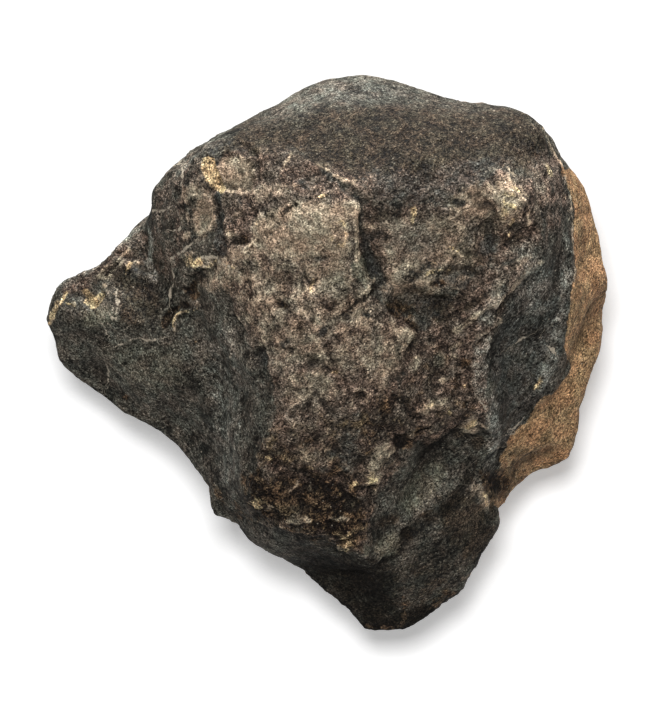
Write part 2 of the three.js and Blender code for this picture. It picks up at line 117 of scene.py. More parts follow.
PATCHES = [
    # the rough brown crust: slab, upper face, bowl, knob, flank and valley
    Patch("slab", "brown", 1, 0, 3, [
        (-35.5, 46.5), (-30.5, 59), (-19, 62), (-7.5, 59), (1, 50.5), (10, 43.5), (9, 37), (12, 33),
        (11, 30), (7.5, 26), (11, 20.5), (14, 17.5), (19, 14), (26.5, 8), (22.5, 1.5), (21, -6),
        (21.5, -13), (25, -22), (22, -28), (20, -34.5), (17, -40), (13.5, -44.5), (13, -50.5),
        (13.5, -56.5), (7.5, -58.5), (0, -55), (-8, -52), (-16, -50.5), (-23, -43.5), (-21, -32.5),
        (-16, -22.5), (-15, -13), (-18.5, 0), (-22.5, 2.5), (-26, 12.5), (-29.5, 20.5), (-33, 34.5)]),
    Patch("upper face", "brown", 0.7, 0, 6, [
        (-19, 62.5), (-15, 68.5), (1, 71.5), (27.5, 71.5), (58.5, 71.5), (65, 60), (59.5, 54.5),
        (50.5, 55), (44.5, 52), (40.5, 48), (36, 44.5), (10.5, 43.5), (1, 51), (-7.5, 59.5)]),
    Patch("bowl", "brown", 0.8, 0, 4, [
        (10.5, 43.5), (36, 44), (43, 46.5), (49.5, 45), (49.5, 30.5), (56.5, 27), (42, 26), (33, 24),
        (21.5, 24), (17, 21.5), (12, 33)]),
    Patch("knob", "brown", 0.9, 0, 4, [
        (43, 48), (50.5, 53), (58, 52), (64, 45), (62.5, 33.5), (56.5, 27), (50, 30.5), (49, 40.5),
        (44.5, 40.5)]),
    Patch("nose's upper side", "brown", 0.8, 0, 5, [
        (-80, 20), (-72, 26), (-62, 33), (-55, 39), (-52, 34), (-56, 27), (-62, 23), (-70, 20.5),
        (-77, 17)]),
    Patch("flank", "brown", 0.5, 0, 5, [
        (-56, 26), (-51, 48), (-41, 60), (-36, 58), (-38, 36), (-44, 22)]),
    Patch("right rim", "brown", 0.7, 0, 5, [
        (57, 71.5), (62, 67.5), (67, 60.5), (71, 53), (72.5, 44.5), (65, 33.5), (59.5, 45), (59, 55.5)]),
    Patch("valley", "brown", 1, 0, 4, [
        (21.5, 7), (28.5, 7), (36, 14.5), (43.5, 24.5), (56.5, 27), (61, 27), (55, 19), (51, 10),
        (46.5, 1.5), (48, -9), (48, -19.5), (38, -22), (30, -26.5), (24.5, -25), (21.5, -13)]),
    # where the brown crust is folded high
    Patch("folded lower slab", "folded", 1, 0, 10, [
        (-23, -26), (-10, -28), (2, -25), (14, -30), (15, -44), (13, -58), (2, -59), (-9, -54),
        (-19, -51), (-25, -44)]),
    Patch("folded middle", "folded", 0.5, 0, 10, [(-22, 16), (8, 14), (20, -6), (14, -26), (-16, -26)]),
    Patch("folded valley", "folded", 0.8, 0, 6, [
        (15, 20), (30, 10), (44, 24), (61, 27), (50, 8), (47, -20), (30, -26), (22, -26), (22, -8)]),
    Patch("folded knob", "folded", 0.7, 0, 8, [
        (36, 22), (36, 46), (52, 56), (66, 60), (70, 46), (60, 27)]),
    Patch("folded flank", "folded", 0.7, 0, 8, [
        (-50, 8), (-48, 30), (-40, 60), (-18, 62), (-22, 40), (-34, 12)]),
    # charred brown crust and painted shade: darker in the rusty zone and its hollow, in the valley, and over
    # the lower half of the slab
    Patch("rusty shade", "charred", 0.95, 0, 10, [
        (-24, -36), (-12, -35.5), (0, -36.5), (10, -39), (12, -46), (10, -57), (2, -57), (-8, -53),
        (-17, -50), (-24, -44)]),
    Patch("valley's shade", "charred", 0.35, 0, 8, [
        (21, 4), (36, 4), (46, -6), (46, -20), (30, -25), (22, -24)]),
    Patch("rusty hollow", "charred", 1, 0.5, 8, [
        (-10.5, -36.5), (-2, -35), (6.5, -37), (7.5, -44), (1, -48.5), (-9, -47)]),
    Patch("lower half of the slab", "charred", 0.55, 0, 12, [
        (-19, -22), (-8, -20), (-2, -17), (8, -15), (22, -9), (25, -22), (20, -34), (13.5, -44),
        (13, -58), (0, -56), (-16, -51), (-24, -44)]),
    # bleached places, and painted light where some of them lie in shade
    Patch("upper slab", "pale", 0.85, 0, 7, [
        (-20.5, 40.5), (-15, 42.5), (-7.5, 45), (7.5, 43.5), (7.5, 30.5), (5.5, 27), (-7.5, 27),
        (-18.5, 28), (-25, 26.5), (-30, 27), (-28.5, 30.5), (-22, 30.5)]),
    Patch("thumbprint", "pale", 1, 0.9, 4, [
        (-33, 53.5), (-30.5, 57), (-25, 59), (-21, 56.5), (-20, 52), (-22, 48), (-27.5, 47),
        (-31, 48.5)]),
    Patch("flank print", "pale", 0.9, 0.8, 3, [
        (-38, 45), (-35, 46.5), (-33.5, 43), (-33.5, 38.5), (-35, 36), (-38, 34), (-39.5, 37),
        (-39, 42)]),
    Patch("slab by the scoop", "pale", 0.5, 0, 5, [
        (13.5, 10), (18.5, 10.5), (22, 7), (26.5, 6.5), (24, 2), (21, -5), (17, -12), (12, -9.5),
        (8.5, 1.5)]),
    Patch("flank's pale side", "pale", 0.45, 0, 6, [
        (-42, 49.5), (-37, 53.5), (-32, 45), (-33, 35), (-38.5, 33), (-42, 41)]),
    # painted light on the slab's left end, where shadows fall
    Patch("slab's left end", "pale", 0.6, 0, 6, [
        (-37.5, 29), (-22, 27.5), (-20.5, 20), (-29.5, 17.5), (-38, 20)]),
    # painted light on the scoop's wall, which turns from the light
    Patch("scoop's wall", "pale", 0.55, 0, 5, [(16.5, 24), (33, 23.5), (35, 17), (19.5, 16.5)]),
    Patch("above the slab", "pale", 0.4, 0, 5, [(-27, 50), (-10, 50.5), (-8, 44), (-26, 43)]),
    Patch("knob's foot", "pale", 0.5, 0, 5, [(42, 41.5), (53, 41.5), (53, 35.5), (43, 35)]),
    Patch("slab's low middle", "pale", 0.35, 0, 8, [
        (-10, -19), (2, -18), (4, -30), (-2, -35), (-10, -34)]),
    Patch("right rim's pale side", "pale", 0.3, 0, 8, [
        (50, 62), (60, 62), (67, 50), (68, 40), (60, 38), (58, 50)]),
    Patch("slab's middle", "pale", 0.5, 0, 8, [
        (-24, 29), (6, 30), (14, 14), (18, 0), (6, -6), (-16, -4), (-22, 6)]),
    # painted light on the bowl's floor, which lies in shade
    Patch("bowl's floor", "pale", 0.5, -1.5, 8, [
        (15, 40), (36, 42), (46, 34), (44, 26), (34, 22), (20, 20), (15, 28)]),
    Patch("beside the knob", "pale", 0.7, 0, 5, [(34, 46), (44, 50), (50, 44), (48, 38), (38, 40)]),
    Patch("slab's left", "pale", 0.45, 0, 5, [
        (-25, 21.5), (-18.5, 23), (-16, 16), (-18.5, 6.5), (-20, 2.5), (-24, 7), (-26.5, 15.5)]),
    Patch("slab below the middle", "pale", 0.4, 0, 8, [
        (-15, -4.5), (-7.5, -1.5), (1, -5), (5.5, -11), (-0.5, -16), (-10.5, -16), (-14, -12)]),
    Patch("tall lump", "pale", 0.7, -1.2, 5, [
        (19, -24), (15, -26.5), (12, -30), (10.5, -34), (11.5, -37), (14.5, -37.5), (16.5, -33.5),
        (18, -30), (21, -27)]),
    Patch("scoop's lump", "pale", 0.6, -0.5, 3, [
        (21.5, 5.5), (25, 7), (27.5, 4.5), (26, 1), (22.5, 1.5)]),
    Patch("valley's last lump", "pale", 0.8, -0.5, 3, [
        (39.5, -20), (43.5, -18.5), (45.5, -21), (43.5, -23.5), (40, -23)]),
    Patch("valley lump", "pale", 0.55, -0.7, 3.5, [
        (27.5, -16), (30.5, -13), (35, -12.5), (33.5, -15.5), (29, -18)]),
    Patch("corner's end", "pale", 0.7, 0, 4, [
        (43.5, -38.5), (47, -39.5), (50, -45), (49, -48), (46, -46), (43, -42)]),
    Patch("knob top", "pale", 0.75, 0, 5, [
        (49.5, 50.5), (53.5, 52), (57, 48), (56.5, 40.5), (52.5, 35.5), (49.5, 40), (48, 46)]),
    # burnt places, and painted shade on the upper face and the foot
    Patch("upper face's left end", "dark", 0.9, 0, 8, [
        (-32, 60), (-24, 68), (-10, 72), (-8, 60), (-20, 59)]),
    Patch("upper face's shade", "dark", 1, 0, 10, [
        (-29, 60), (-24, 67), (-12, 71), (5, 74), (28, 75), (58, 72), (67, 62), (58, 55), (45, 56),
        (28, 52), (6, 53), (-12, 60)]),
    Patch("nose's inner face", "dark", 0.6, 0, 6, [
        (-63, 25), (-52, 28), (-49, 16), (-48, 7), (-58, 5), (-63, 12)]),
    Patch("beside the knob's foot", "dark", 0.6, 0, 6, [(38, 33), (49, 34), (50, 27), (40, 26)]),
    Patch("foot's right side", "dark", 0.95, 0, 8, [
        (33.5, -43), (42.5, -42), (49.5, -46.5), (52, -57), (43, -62.5), (35.5, -55.5)]),
    Patch("foot's shade", "dark", 0.5, 0, 10, [
        (-2, -66), (6, -60), (14, -60), (22, -62), (32, -55), (44, -62), (34, -76), (10, -88), (0, -80)]),
    # painted shade, the blackest, on the foot where it turns from the light and in the hollow above it
    Patch("foot's left face", "soot", 0.9, 0, 14, [
        (-8, -57.5), (4, -58.5), (14.5, -61), (19.5, -67), (21.5, -77), (20.5, -88), (6, -88),
        (-8, -70)]),
    Patch("foot's tip", "soot", 1, 0, 5, [(8, -79), (22, -76.5), (33.5, -74.5), (31, -88), (10, -90)]),
    Patch("above the foot", "soot", 0.5, 0.5, 6, [
        (25, -24.5), (35, -24), (37, -31), (30.5, -35), (26, -31.5)]),
    # olive scoops and fields
    Patch("long foot scoop", "olive", 1, 0.4, 5, [
        (23, -40), (26, -36), (30.5, -32), (35.5, -32.5), (33.5, -38.5), (29, -44), (25, -46.5),
        (22.5, -44.5)]),
    Patch("round foot scoop", "olive", 1, 0.4, 5, [
        (13.5, -56.5), (16, -54.5), (20.5, -53), (22.5, -55.5), (20.5, -58.5), (16.5, -60.5),
        (13.5, -58.5)]),
    Patch("grey face's olive", "olive", 0.8, 0, 2.5, [(47, -5.5), (50, -5.5), (51, -12), (47.5, -12)]),
    Patch("nose's field", "olive", 0.45, 0, 10, [
        (-69, 3), (-43.5, 3.5), (-40, -9), (-53, -14), (-66.5, -6.5)]),
    Patch("nose's olive", "olive", 0.7, 0, 4, [
        (-73.5, 13), (-65, 14.5), (-62.5, 12), (-64, 8.5), (-72.5, 8.5)]),
    Patch("print's middle", "olive", 0.5, 0, 3, [
        (-38, 44), (-35, 44.5), (-34.5, 39), (-36, 36.5), (-38.5, 38)]),
    Patch("beside the slab", "olive", 0.9, 0, 2, [(7.5, 27), (12, 30), (14, 25), (11.5, 20), (8, 23)]),
    Patch("slab's olive", "olive", 0.4, 0, 5, [
        (-0.5, 31.5), (7, 31.5), (7, 18.5), (2.5, 16), (-1, 24.5)]),
    # smooth blue-grey skin
    Patch("grey face", "blue", 0.6, 0, 4, [
        (60, 27), (71.5, 31), (72.5, 16), (71, 4.5), (70, -0.5), (66, -12), (60.5, -18), (56, -24),
        (51.5, -29), (48, -25.5), (48, -9), (46.5, 1.5), (51, 10), (55, 19)]),
    Patch("smooth band", "blue", 0.5, 0, 4, [
        (13, 53), (28.5, 53), (40.5, 56.5), (50.5, 58.5), (58, 57.5), (50.5, 55), (44.5, 52), (40.5, 48),
        (34.5, 44.5), (21.5, 44), (12.5, 44)]),
    Patch("groove", "blue", 0.9, 0.5, 3, [(-11, 51), (-7.5, 50.5), (-4, 49), (-7.5, 48.5)]),
    Patch("bowl's top", "blue", 0.2, 0.3, 3, [
        (11, 43), (22, 43.5), (22.5, 39.5), (15.5, 37.5), (10.5, 38.5)]),
    Patch("dark pit", "blue", 0.7, 0.3, 4, [(44, 33), (48, 35.5), (50.5, 31), (47, 28.5), (43.5, 29.5)]),
    Patch("bowl's rim spot", "blue", 0.8, 0.3, 2, [(36.5, 45.5), (41, 45), (40, 43), (36.5, 43.5)]),
    Patch("slab's grey spot", "blue", 0.6, 0.2, 2.5, [(-3.5, 29), (0.5, 28), (0, 25.5), (-3, 26.5)]),
    Patch("grey below the slab", "blue", 0.5, 0, 5, [
        (3, -20.5), (10, -22), (10.5, -34), (6.5, -37), (2, -28)]),
    # painted sheen and painted light on the grey skin
    Patch("bowl's middle", "silver", 0.35, 0.3, 8, [
        (16, 39), (29, 40), (34, 34), (31, 27), (24, 27), (17, 31)]),
    Patch("crest", "silver", 0.25, 0, 10, [
        (-24, 66), (-10, 80), (8, 84), (30, 79), (54, 75), (54, 70), (25, 71), (0, 71), (-10, 66)]),
    Patch("left wall", "silver", 0.35, 0, 6, [
        (-37, 10), (-28, 8), (-25.5, -8), (-26, -40), (-30, -44), (-33.5, -30), (-36, -8)]),
    Patch("grey face's top", "silver", 0.4, 0, 8, [(54, 32), (66, 32), (66, 8), (56, 10)]),
    # the weathered side
    Patch("weathered side", "tan", 1, 0, 2, [
        (69, 55), (71.5, 50), (73.5, 44.5), (73.5, 31), (72, 16), (71, 3), (72.5, -5), (68.5, -11),
        (65, -12.5), (61.5, -17), (57, -21.5), (54.5, -25.5), (52, -30), (50.5, -34.5), (52, -39),
        (50.5, -44), (52, -47.5), (64, -49), (88, -49), (94, 7.5), (88, 55.5)]),
    # rust in pits and scoops, and on low rims
    Patch("rust pit", "rust", 1, 1, 1.5, [
        (-42.5, 20), (-38, 21), (-37.5, 18), (-39.5, 16.5), (-42, 17.5)]),
    Patch("rust pit below it", "rust", 0.9, 0.6, 1.5, [
        (-44, 15.5), (-41, 16), (-40.5, 14), (-43.5, 13.5)]),
    Patch("rust scoop", "rust", 1, 0.8, 1.5, [
        (-49, 11), (-46, 14), (-43.5, 13.5), (-45.5, 10), (-48, 8), (-49.5, 8.5)]),
    Patch("lower slab", "rust", 0.7, 0.4, 9, [
        (-22.5, -34.5), (-12, -37.5), (-7.5, -41), (1, -39.5), (6.5, -42), (6, -45), (-1.5, -46.5),
        (-7.5, -46.5), (-13, -43), (-19, -42.5), (-22.5, -40.5)]),
    Patch("dark scoop", "rust", 0.3, 0, 6, [
        (14.5, 18), (19, 16), (21.5, 10.5), (29, 8.5), (35, 10), (38.5, 16), (44, 24.5), (42, 26.5),
        (35.5, 26), (33, 23), (35, 19.5), (30.5, 17), (23, 16)]),
    Patch("valley hollow", "rust", 0.9, 0.6, 2, [
        (20.5, -23), (27, -24.5), (25, -27.5), (21, -28.5), (19, -26)]),
    Patch("valley bend", "rust", 0.7, 0.5, 2, [
        (19.5, -11.5), (24, -12.5), (29, -19), (25, -19), (21.5, -15.5)]),
    Patch("valley spot", "rust", 0.8, 0.4, 2, [(39.5, -1), (42.5, -1.5), (42, -5), (39, -4.5)]),
    Patch("slab spot", "rust", 0.7, 0.5, 1.5, [(-14.5, 16), (-10, 15), (-10.5, 13), (-14, 13)]),
    Patch("slab slit", "rust", 0.8, 0.5, 1.5, [(8, -10.5), (12.5, -11), (11.5, -12.5), (8.5, -12.5)]),
    Patch("slab nick", "rust", 0.7, 0.5, 1.5, [(-6, 24), (-3.5, 21.5), (-4.5, 20), (-7, 21.5)]),
    Patch("slab's upper left nick", "rust", 0.7, 0.5, 2, [
        (-28, 34.5), (-23.5, 34.5), (-22, 31.5), (-26.5, 31.5)]),
    Patch("slab's lower streak", "rust", 0.4, 0.4, 2, [
        (-9, -24.5), (-1.5, -25), (0, -28), (-7.5, -27.5)]),
    Patch("left low rim", "rust", 0.5, 0, 3, [
        (-34, -38.5), (-30, -39.5), (-25.5, -44.5), (-19, -49), (-20.5, -51.5), (-27.5, -49.5),
        (-32.5, -45)]),
    # the weathered side, darker and redder towards its bottom
    Patch("low tan", "rust", 0.4, 0, 8, [
        (50, -28), (57.5, -22.5), (64, -27), (63.5, -33), (60, -40), (56, -50), (50, -46)]),
    Patch("foot's right rim", "rust", 0.6, 0, 3, [
        (30.5, -73.5), (35.5, -70.5), (39.5, -72), (36.5, -76), (31.5, -78)]),
    Patch("right corner", "rust", 0.8, 0, 5, [
        (45, -34.5), (52, -34), (56, -37), (54, -42.5), (50, -46), (47, -42)]),
    # cream scars and crusts of lime
    Patch("crescent", "cream", 1, 0.6, 1.5, [
        (-37, 58), (-33.5, 57.5), (-32.5, 54.5), (-31.5, 51), (-29.5, 48), (-31, 46.5), (-34, 48),
        (-35.5, 51.5), (-37, 54.5)]),
    Patch("nose tip", "cream", 0.7, 0, 1.5, [
        (-81, 15.5), (-79, 16), (-79.5, 13.5), (-81.5, 11), (-83, 9), (-83, 11.5)]),
    Patch("nose scar", "cream", 0.9, 0.3, 1.5, [
        (-73.5, 20), (-71.5, 20.5), (-70, 18.5), (-67.5, 19), (-66.5, 17.5), (-67.5, 14.5), (-70, 13.5),
        (-72.5, 15.5)]),
    Patch("flank crust", "cream", 0.5, -0.3, 2, [
        (-43, 28.5), (-39.5, 30), (-37.5, 27), (-38.5, 25), (-41.5, 26)]),
    Patch("gold flecks", "cream", 0.5, 0, 4, [(3, -53.5), (7.5, -53.5), (8, -57.5), (4.5, -58.5)]),
    Patch("left low flecks", "cream", 0.4, 0, 4, [
        (-21.5, -42.5), (-17.5, -43), (-15.5, -46), (-19, -45.5)]),
    Patch("grey face spot", "cream", 0.6, 0, 1.5, [(61.5, -10), (63.5, -6.5), (64, -7), (63.5, -10)]),
]

LINES = [
    # pale ridges, lips and streaks
    Line("valley lip", "pale", 0.9, -0.5, 2.5, [(39.5, -21.5), (42, -20), (45, -20), (47.5, -21)]),
    Line("long ridge", "pale", 0.8, -0.8, 4, [(63, 27), (57, 22), (51.5, 16), (45.5, 12), (38, 7)]),
    Line("lower ridge", "pale", 0.7, -0.6, 3, [(51, 10), (45, 6.5), (36.5, 1.5)]),
    Line("bowl lip", "pale", 0.7, -0.4, 2.5, [(31.5, 31), (35.5, 30.5), (39.5, 30)]),
    Line("brow streak", "pale", 0.8, -0.3, 2, [(-13.5, 54), (-12, 56), (-10, 58.5)]),
    Line("brow arc", "pale", 0.9, -0.3, 2, [(2, 51.5), (4, 50), (7, 49.5), (8.5, 51)]),
    Line("brow's second arc", "pale", 0.7, -0.2, 2, [(-3, 55.5), (-0.5, 54), (1, 53)]),
    Line("brow's third arc", "pale", 0.7, -0.2, 2, [(29, 59), (32, 58.5), (34, 60)]),
    Line("slab corner", "pale", 0.8, -0.4, 2, [(7.5, 25), (10.5, 23), (12.5, 19.5), (11.5, 17.5)]),
    Line("low flake", "pale", 0.45, -0.5, 2.5, [(-12.5, -49), (-9, -47.5), (-5.5, -48.5)]),
    Line("second low flake", "pale", 0.5, -0.5, 2, [(-2, -47.5), (3, -48.5), (6.5, -48)]),
    # pale streaks with a painted highlight along the right rim and its thin edge
    Line("right rim", "pale", 0.8, -0.4, 2.5, [(59, 71.5), (63, 67), (66, 61.5), (69, 56), (71, 50)]),
    Line("thin rim", "pale", 0.7, -0.3, 1.6, [
        (72, 48.5), (72.5, 38.5), (73, 27.5), (72.5, 17.5), (71.5, 12.5)]),
    Line("slab's right edge", "pale", 0.8, -0.4, 4, [(8.5, 42), (8.5, 36), (9, 31.5), (9, 27)]),
    Line("second knob arc", "pale", 0.8, -0.3, 2, [(56, 46.5), (58.5, 42), (59, 37)]),
    Line("third knob arc", "pale", 0.8, -0.3, 2, [(53, 52), (55.5, 49.5), (58.5, 46)]),
    Line("nose scar's rim", "pale", 0.8, -0.2, 1.5, [(-66.5, 21), (-65.5, 18.5), (-66.5, 17)]),
    Line("nose streak", "pale", 0.8, -0.2, 2.2, [
        (-66.5, 24.5), (-63.5, 27.5), (-60.5, 30.5), (-59, 31.5)]),
    Line("second nose streak", "pale", 0.8, -0.2, 1.8, [
        (-67.5, 23), (-65, 22.5), (-62.5, 25), (-61, 27.5)]),
    Line("third nose streak", "pale", 0.6, -0.2, 2, [(-59.5, 26), (-57.5, 27.5), (-56, 27.5)]),
    Line("flank lip", "pale", 0.8, -0.3, 2, [(-29.5, 35.5), (-26.5, 34.5), (-26.5, 33)]),
    Line("slab's first pale ridge", "pale", 0.6, -0.4, 2, [
        (-18.5, 41), (-15, 41.5), (-11.5, 43), (-9, 44.5)]),
    Line("slab's second pale ridge", "pale", 0.8, -0.5, 2.5, [
        (-23, 30), (-20.5, 32.5), (-18.5, 35), (-16.5, 37.5), (-14, 38.5)]),
    Line("brow vein", "pale", 0.4, -0.2, 1.2, [
        (-12.5, 48.5), (-7.5, 49), (-3, 49), (1, 47.5), (5.5, 45.5), (9, 43.5)]),
    Line("seam's lip", "pale", 0.7, -0.3, 2, [(14.5, 22), (11.5, 18.5), (8.5, 16.5), (5, 14)]),
    Line("slab arc", "pale", 0.6, -0.4, 2, [(5.5, -4.5), (9, -3.5), (13.5, -4.5)]),
    Line("slab ring", "pale", 0.5, -0.4, 1.8, [
        (7.5, -11), (10, -9), (12.5, -11), (12.5, -15.5), (10, -18), (7.5, -16), (7.5, -11)]),
    # painted highlight along the edge of the weathered side
    Line("silver edge", "pale", 0.7, -0.3, 1.2, [
        (69.5, 48.5), (71, 44), (72, 38.5), (73, 31), (73, 19), (72, 7.5)]),
    Line("grey face's streak", "pale", 0.5, -0.2, 1.5, [(69, 17.5), (67, 10), (65.5, 6)]),
    Line("foot groove's lip", "pale", 0.3, -0.3, 2.5, [(24, -37), (26, -33), (28.5, -30)]),
    # painted shade in creases and grooves
    Line("slab's first groove", "dark", 0.8, 0.4, 1.5, [
        (-16.5, 40.5), (-12.5, 41.5), (-10, 42.5), (-8, 44)]),
    Line("seam's dark side", "dark", 0.9, 0.6, 2, [(15, 20), (12, 16.5), (9, 14.5), (5.5, 11.5)]),
    Line("first crease", "dark", 0.8, 0.4, 1.5, [(-12.5, 3), (-9, 1.5), (-6, 1)]),
    Line("second crease", "dark", 0.8, 0.4, 1.5, [(-5, -0.5), (-3.5, -3.5), (-1.5, -5)]),
    Line("above the long ridge", "dark", 0.7, 0.5, 3.5, [(52, 20.5), (45, 16), (37.5, 11.5), (33, 9.5)]),
    Line("below the long ridge", "dark", 0.7, 0.5, 3.5, [
        (62.5, 23.5), (55, 17.5), (49.5, 11.5), (43.5, 5.5), (36, 1.5)]),
    # painted shade in the groove above the foot
    Line("foot groove", "soot", 0.7, 0.6, 7, [
        (42.5, -36.5), (38.5, -44.5), (28, -51), (22, -57.5), (14, -64)]),
    # blue-grey channels
    Line("crevice", "blue", 0.6, 0.6, 4, [(14, 35.5), (12, 32), (12, 30), (14, 26.5), (16, 23.5)]),
    Line("channel", "blue", 0.7, 0.3, 6.5, [
        (-31.5, 47.5), (-32, 43.5), (-32, 38), (-31.5, 33.5), (-30, 30.5)]),
    # painted sheen on edges and ridges
    Line("crease's sheen", "silver", 0.9, -0.2, 5, [
        (-53, 44), (-52.5, 35.5), (-52.5, 26.5), (-51.5, 22)]),
    Line("nose's upper edge", "silver", 0.4, -0.2, 4, [
        (-79, 21), (-73, 25), (-66, 30), (-59, 35.5), (-54.5, 41)]),
    Line("grey face's left ridge", "silver", 0.42, -0.4, 9, [
        (50.5, 19), (47, 10.5), (45, 2), (45.5, -7), (48, -14.5), (50, -23), (49.5, -30), (47, -37)]),
    Line("grey face's right ridge", "silver", 0.4, -0.4, 8, [
        (70.5, 36), (70.5, 16), (68.5, 6), (66, -3), (63.5, -10)]),
    Line("upper left edge", "silver", 0.4, 0, 6, [
        (-43, 53.5), (-35.5, 60.5), (-25.5, 68.5), (-14, 76), (-1.5, 82.5)]),
    Line("left wall's edge", "silver", 0.4, -0.3, 5, [
        (-27.5, 5.5), (-26.5, -7.5), (-26, -22), (-27, -35.5), (-28.5, -46)]),
    # rusty edges
    Line("scoop edge", "rust", 0.7, 0.3, 3, [(18, 14), (22, 10.5), (26.5, 8)]),
    Line("foot tip", "rust", 0.8, 0.4, 2.5, [(12, -81.5), (17.5, -83), (23, -82), (27, -81)]),
    # cream arcs and lips
    Line("bowl's second lip", "cream", 0.5, -0.4, 2, [(30, 24), (33, 24), (36.5, 24)]),
    Line("bowl spot", "cream", 0.6, 0, 3.5, [(24.5, 42), (25, 39)]),
    Line("third low flake", "cream", 0.35, -0.3, 2.5, [(0.5, -51), (3.5, -53), (7.5, -51.5)]),
    Line("ring", "cream", 0.5, -0.2, 2, [
        (1, 37), (4.5, 38.5), (5.5, 35), (4.5, 31.5), (1.5, 31.5), (0.5, 34.5)]),
    Line("knob arc", "cream", 0.6, -0.3, 2, [(51, 45), (53.5, 43), (54.5, 39), (53.5, 35.5)]),
    Line("slab fleck", "cream", 0.5, -0.2, 2.5, [(-4, 22), (-4.5, 18.5)]),
    Line("nose fleck", "cream", 0.7, 0, 1.8, [(-77, 15), (-75.5, 14)]),
    Line("flank scarp", "cream", 0.5, -0.4, 2, [(-38, 25), (-35, 25), (-33, 27), (-32, 29)]),
    Line("rusty pit's lip", "cream", 0.5, -0.4, 1.8, [(-38.5, 14), (-42, 12.5), (-45, 10), (-45, 8)]),
    Line("bowl streak", "cream", 0.8, -0.2, 1.2, [(32, 31.5), (35, 32), (38, 31)]),
]
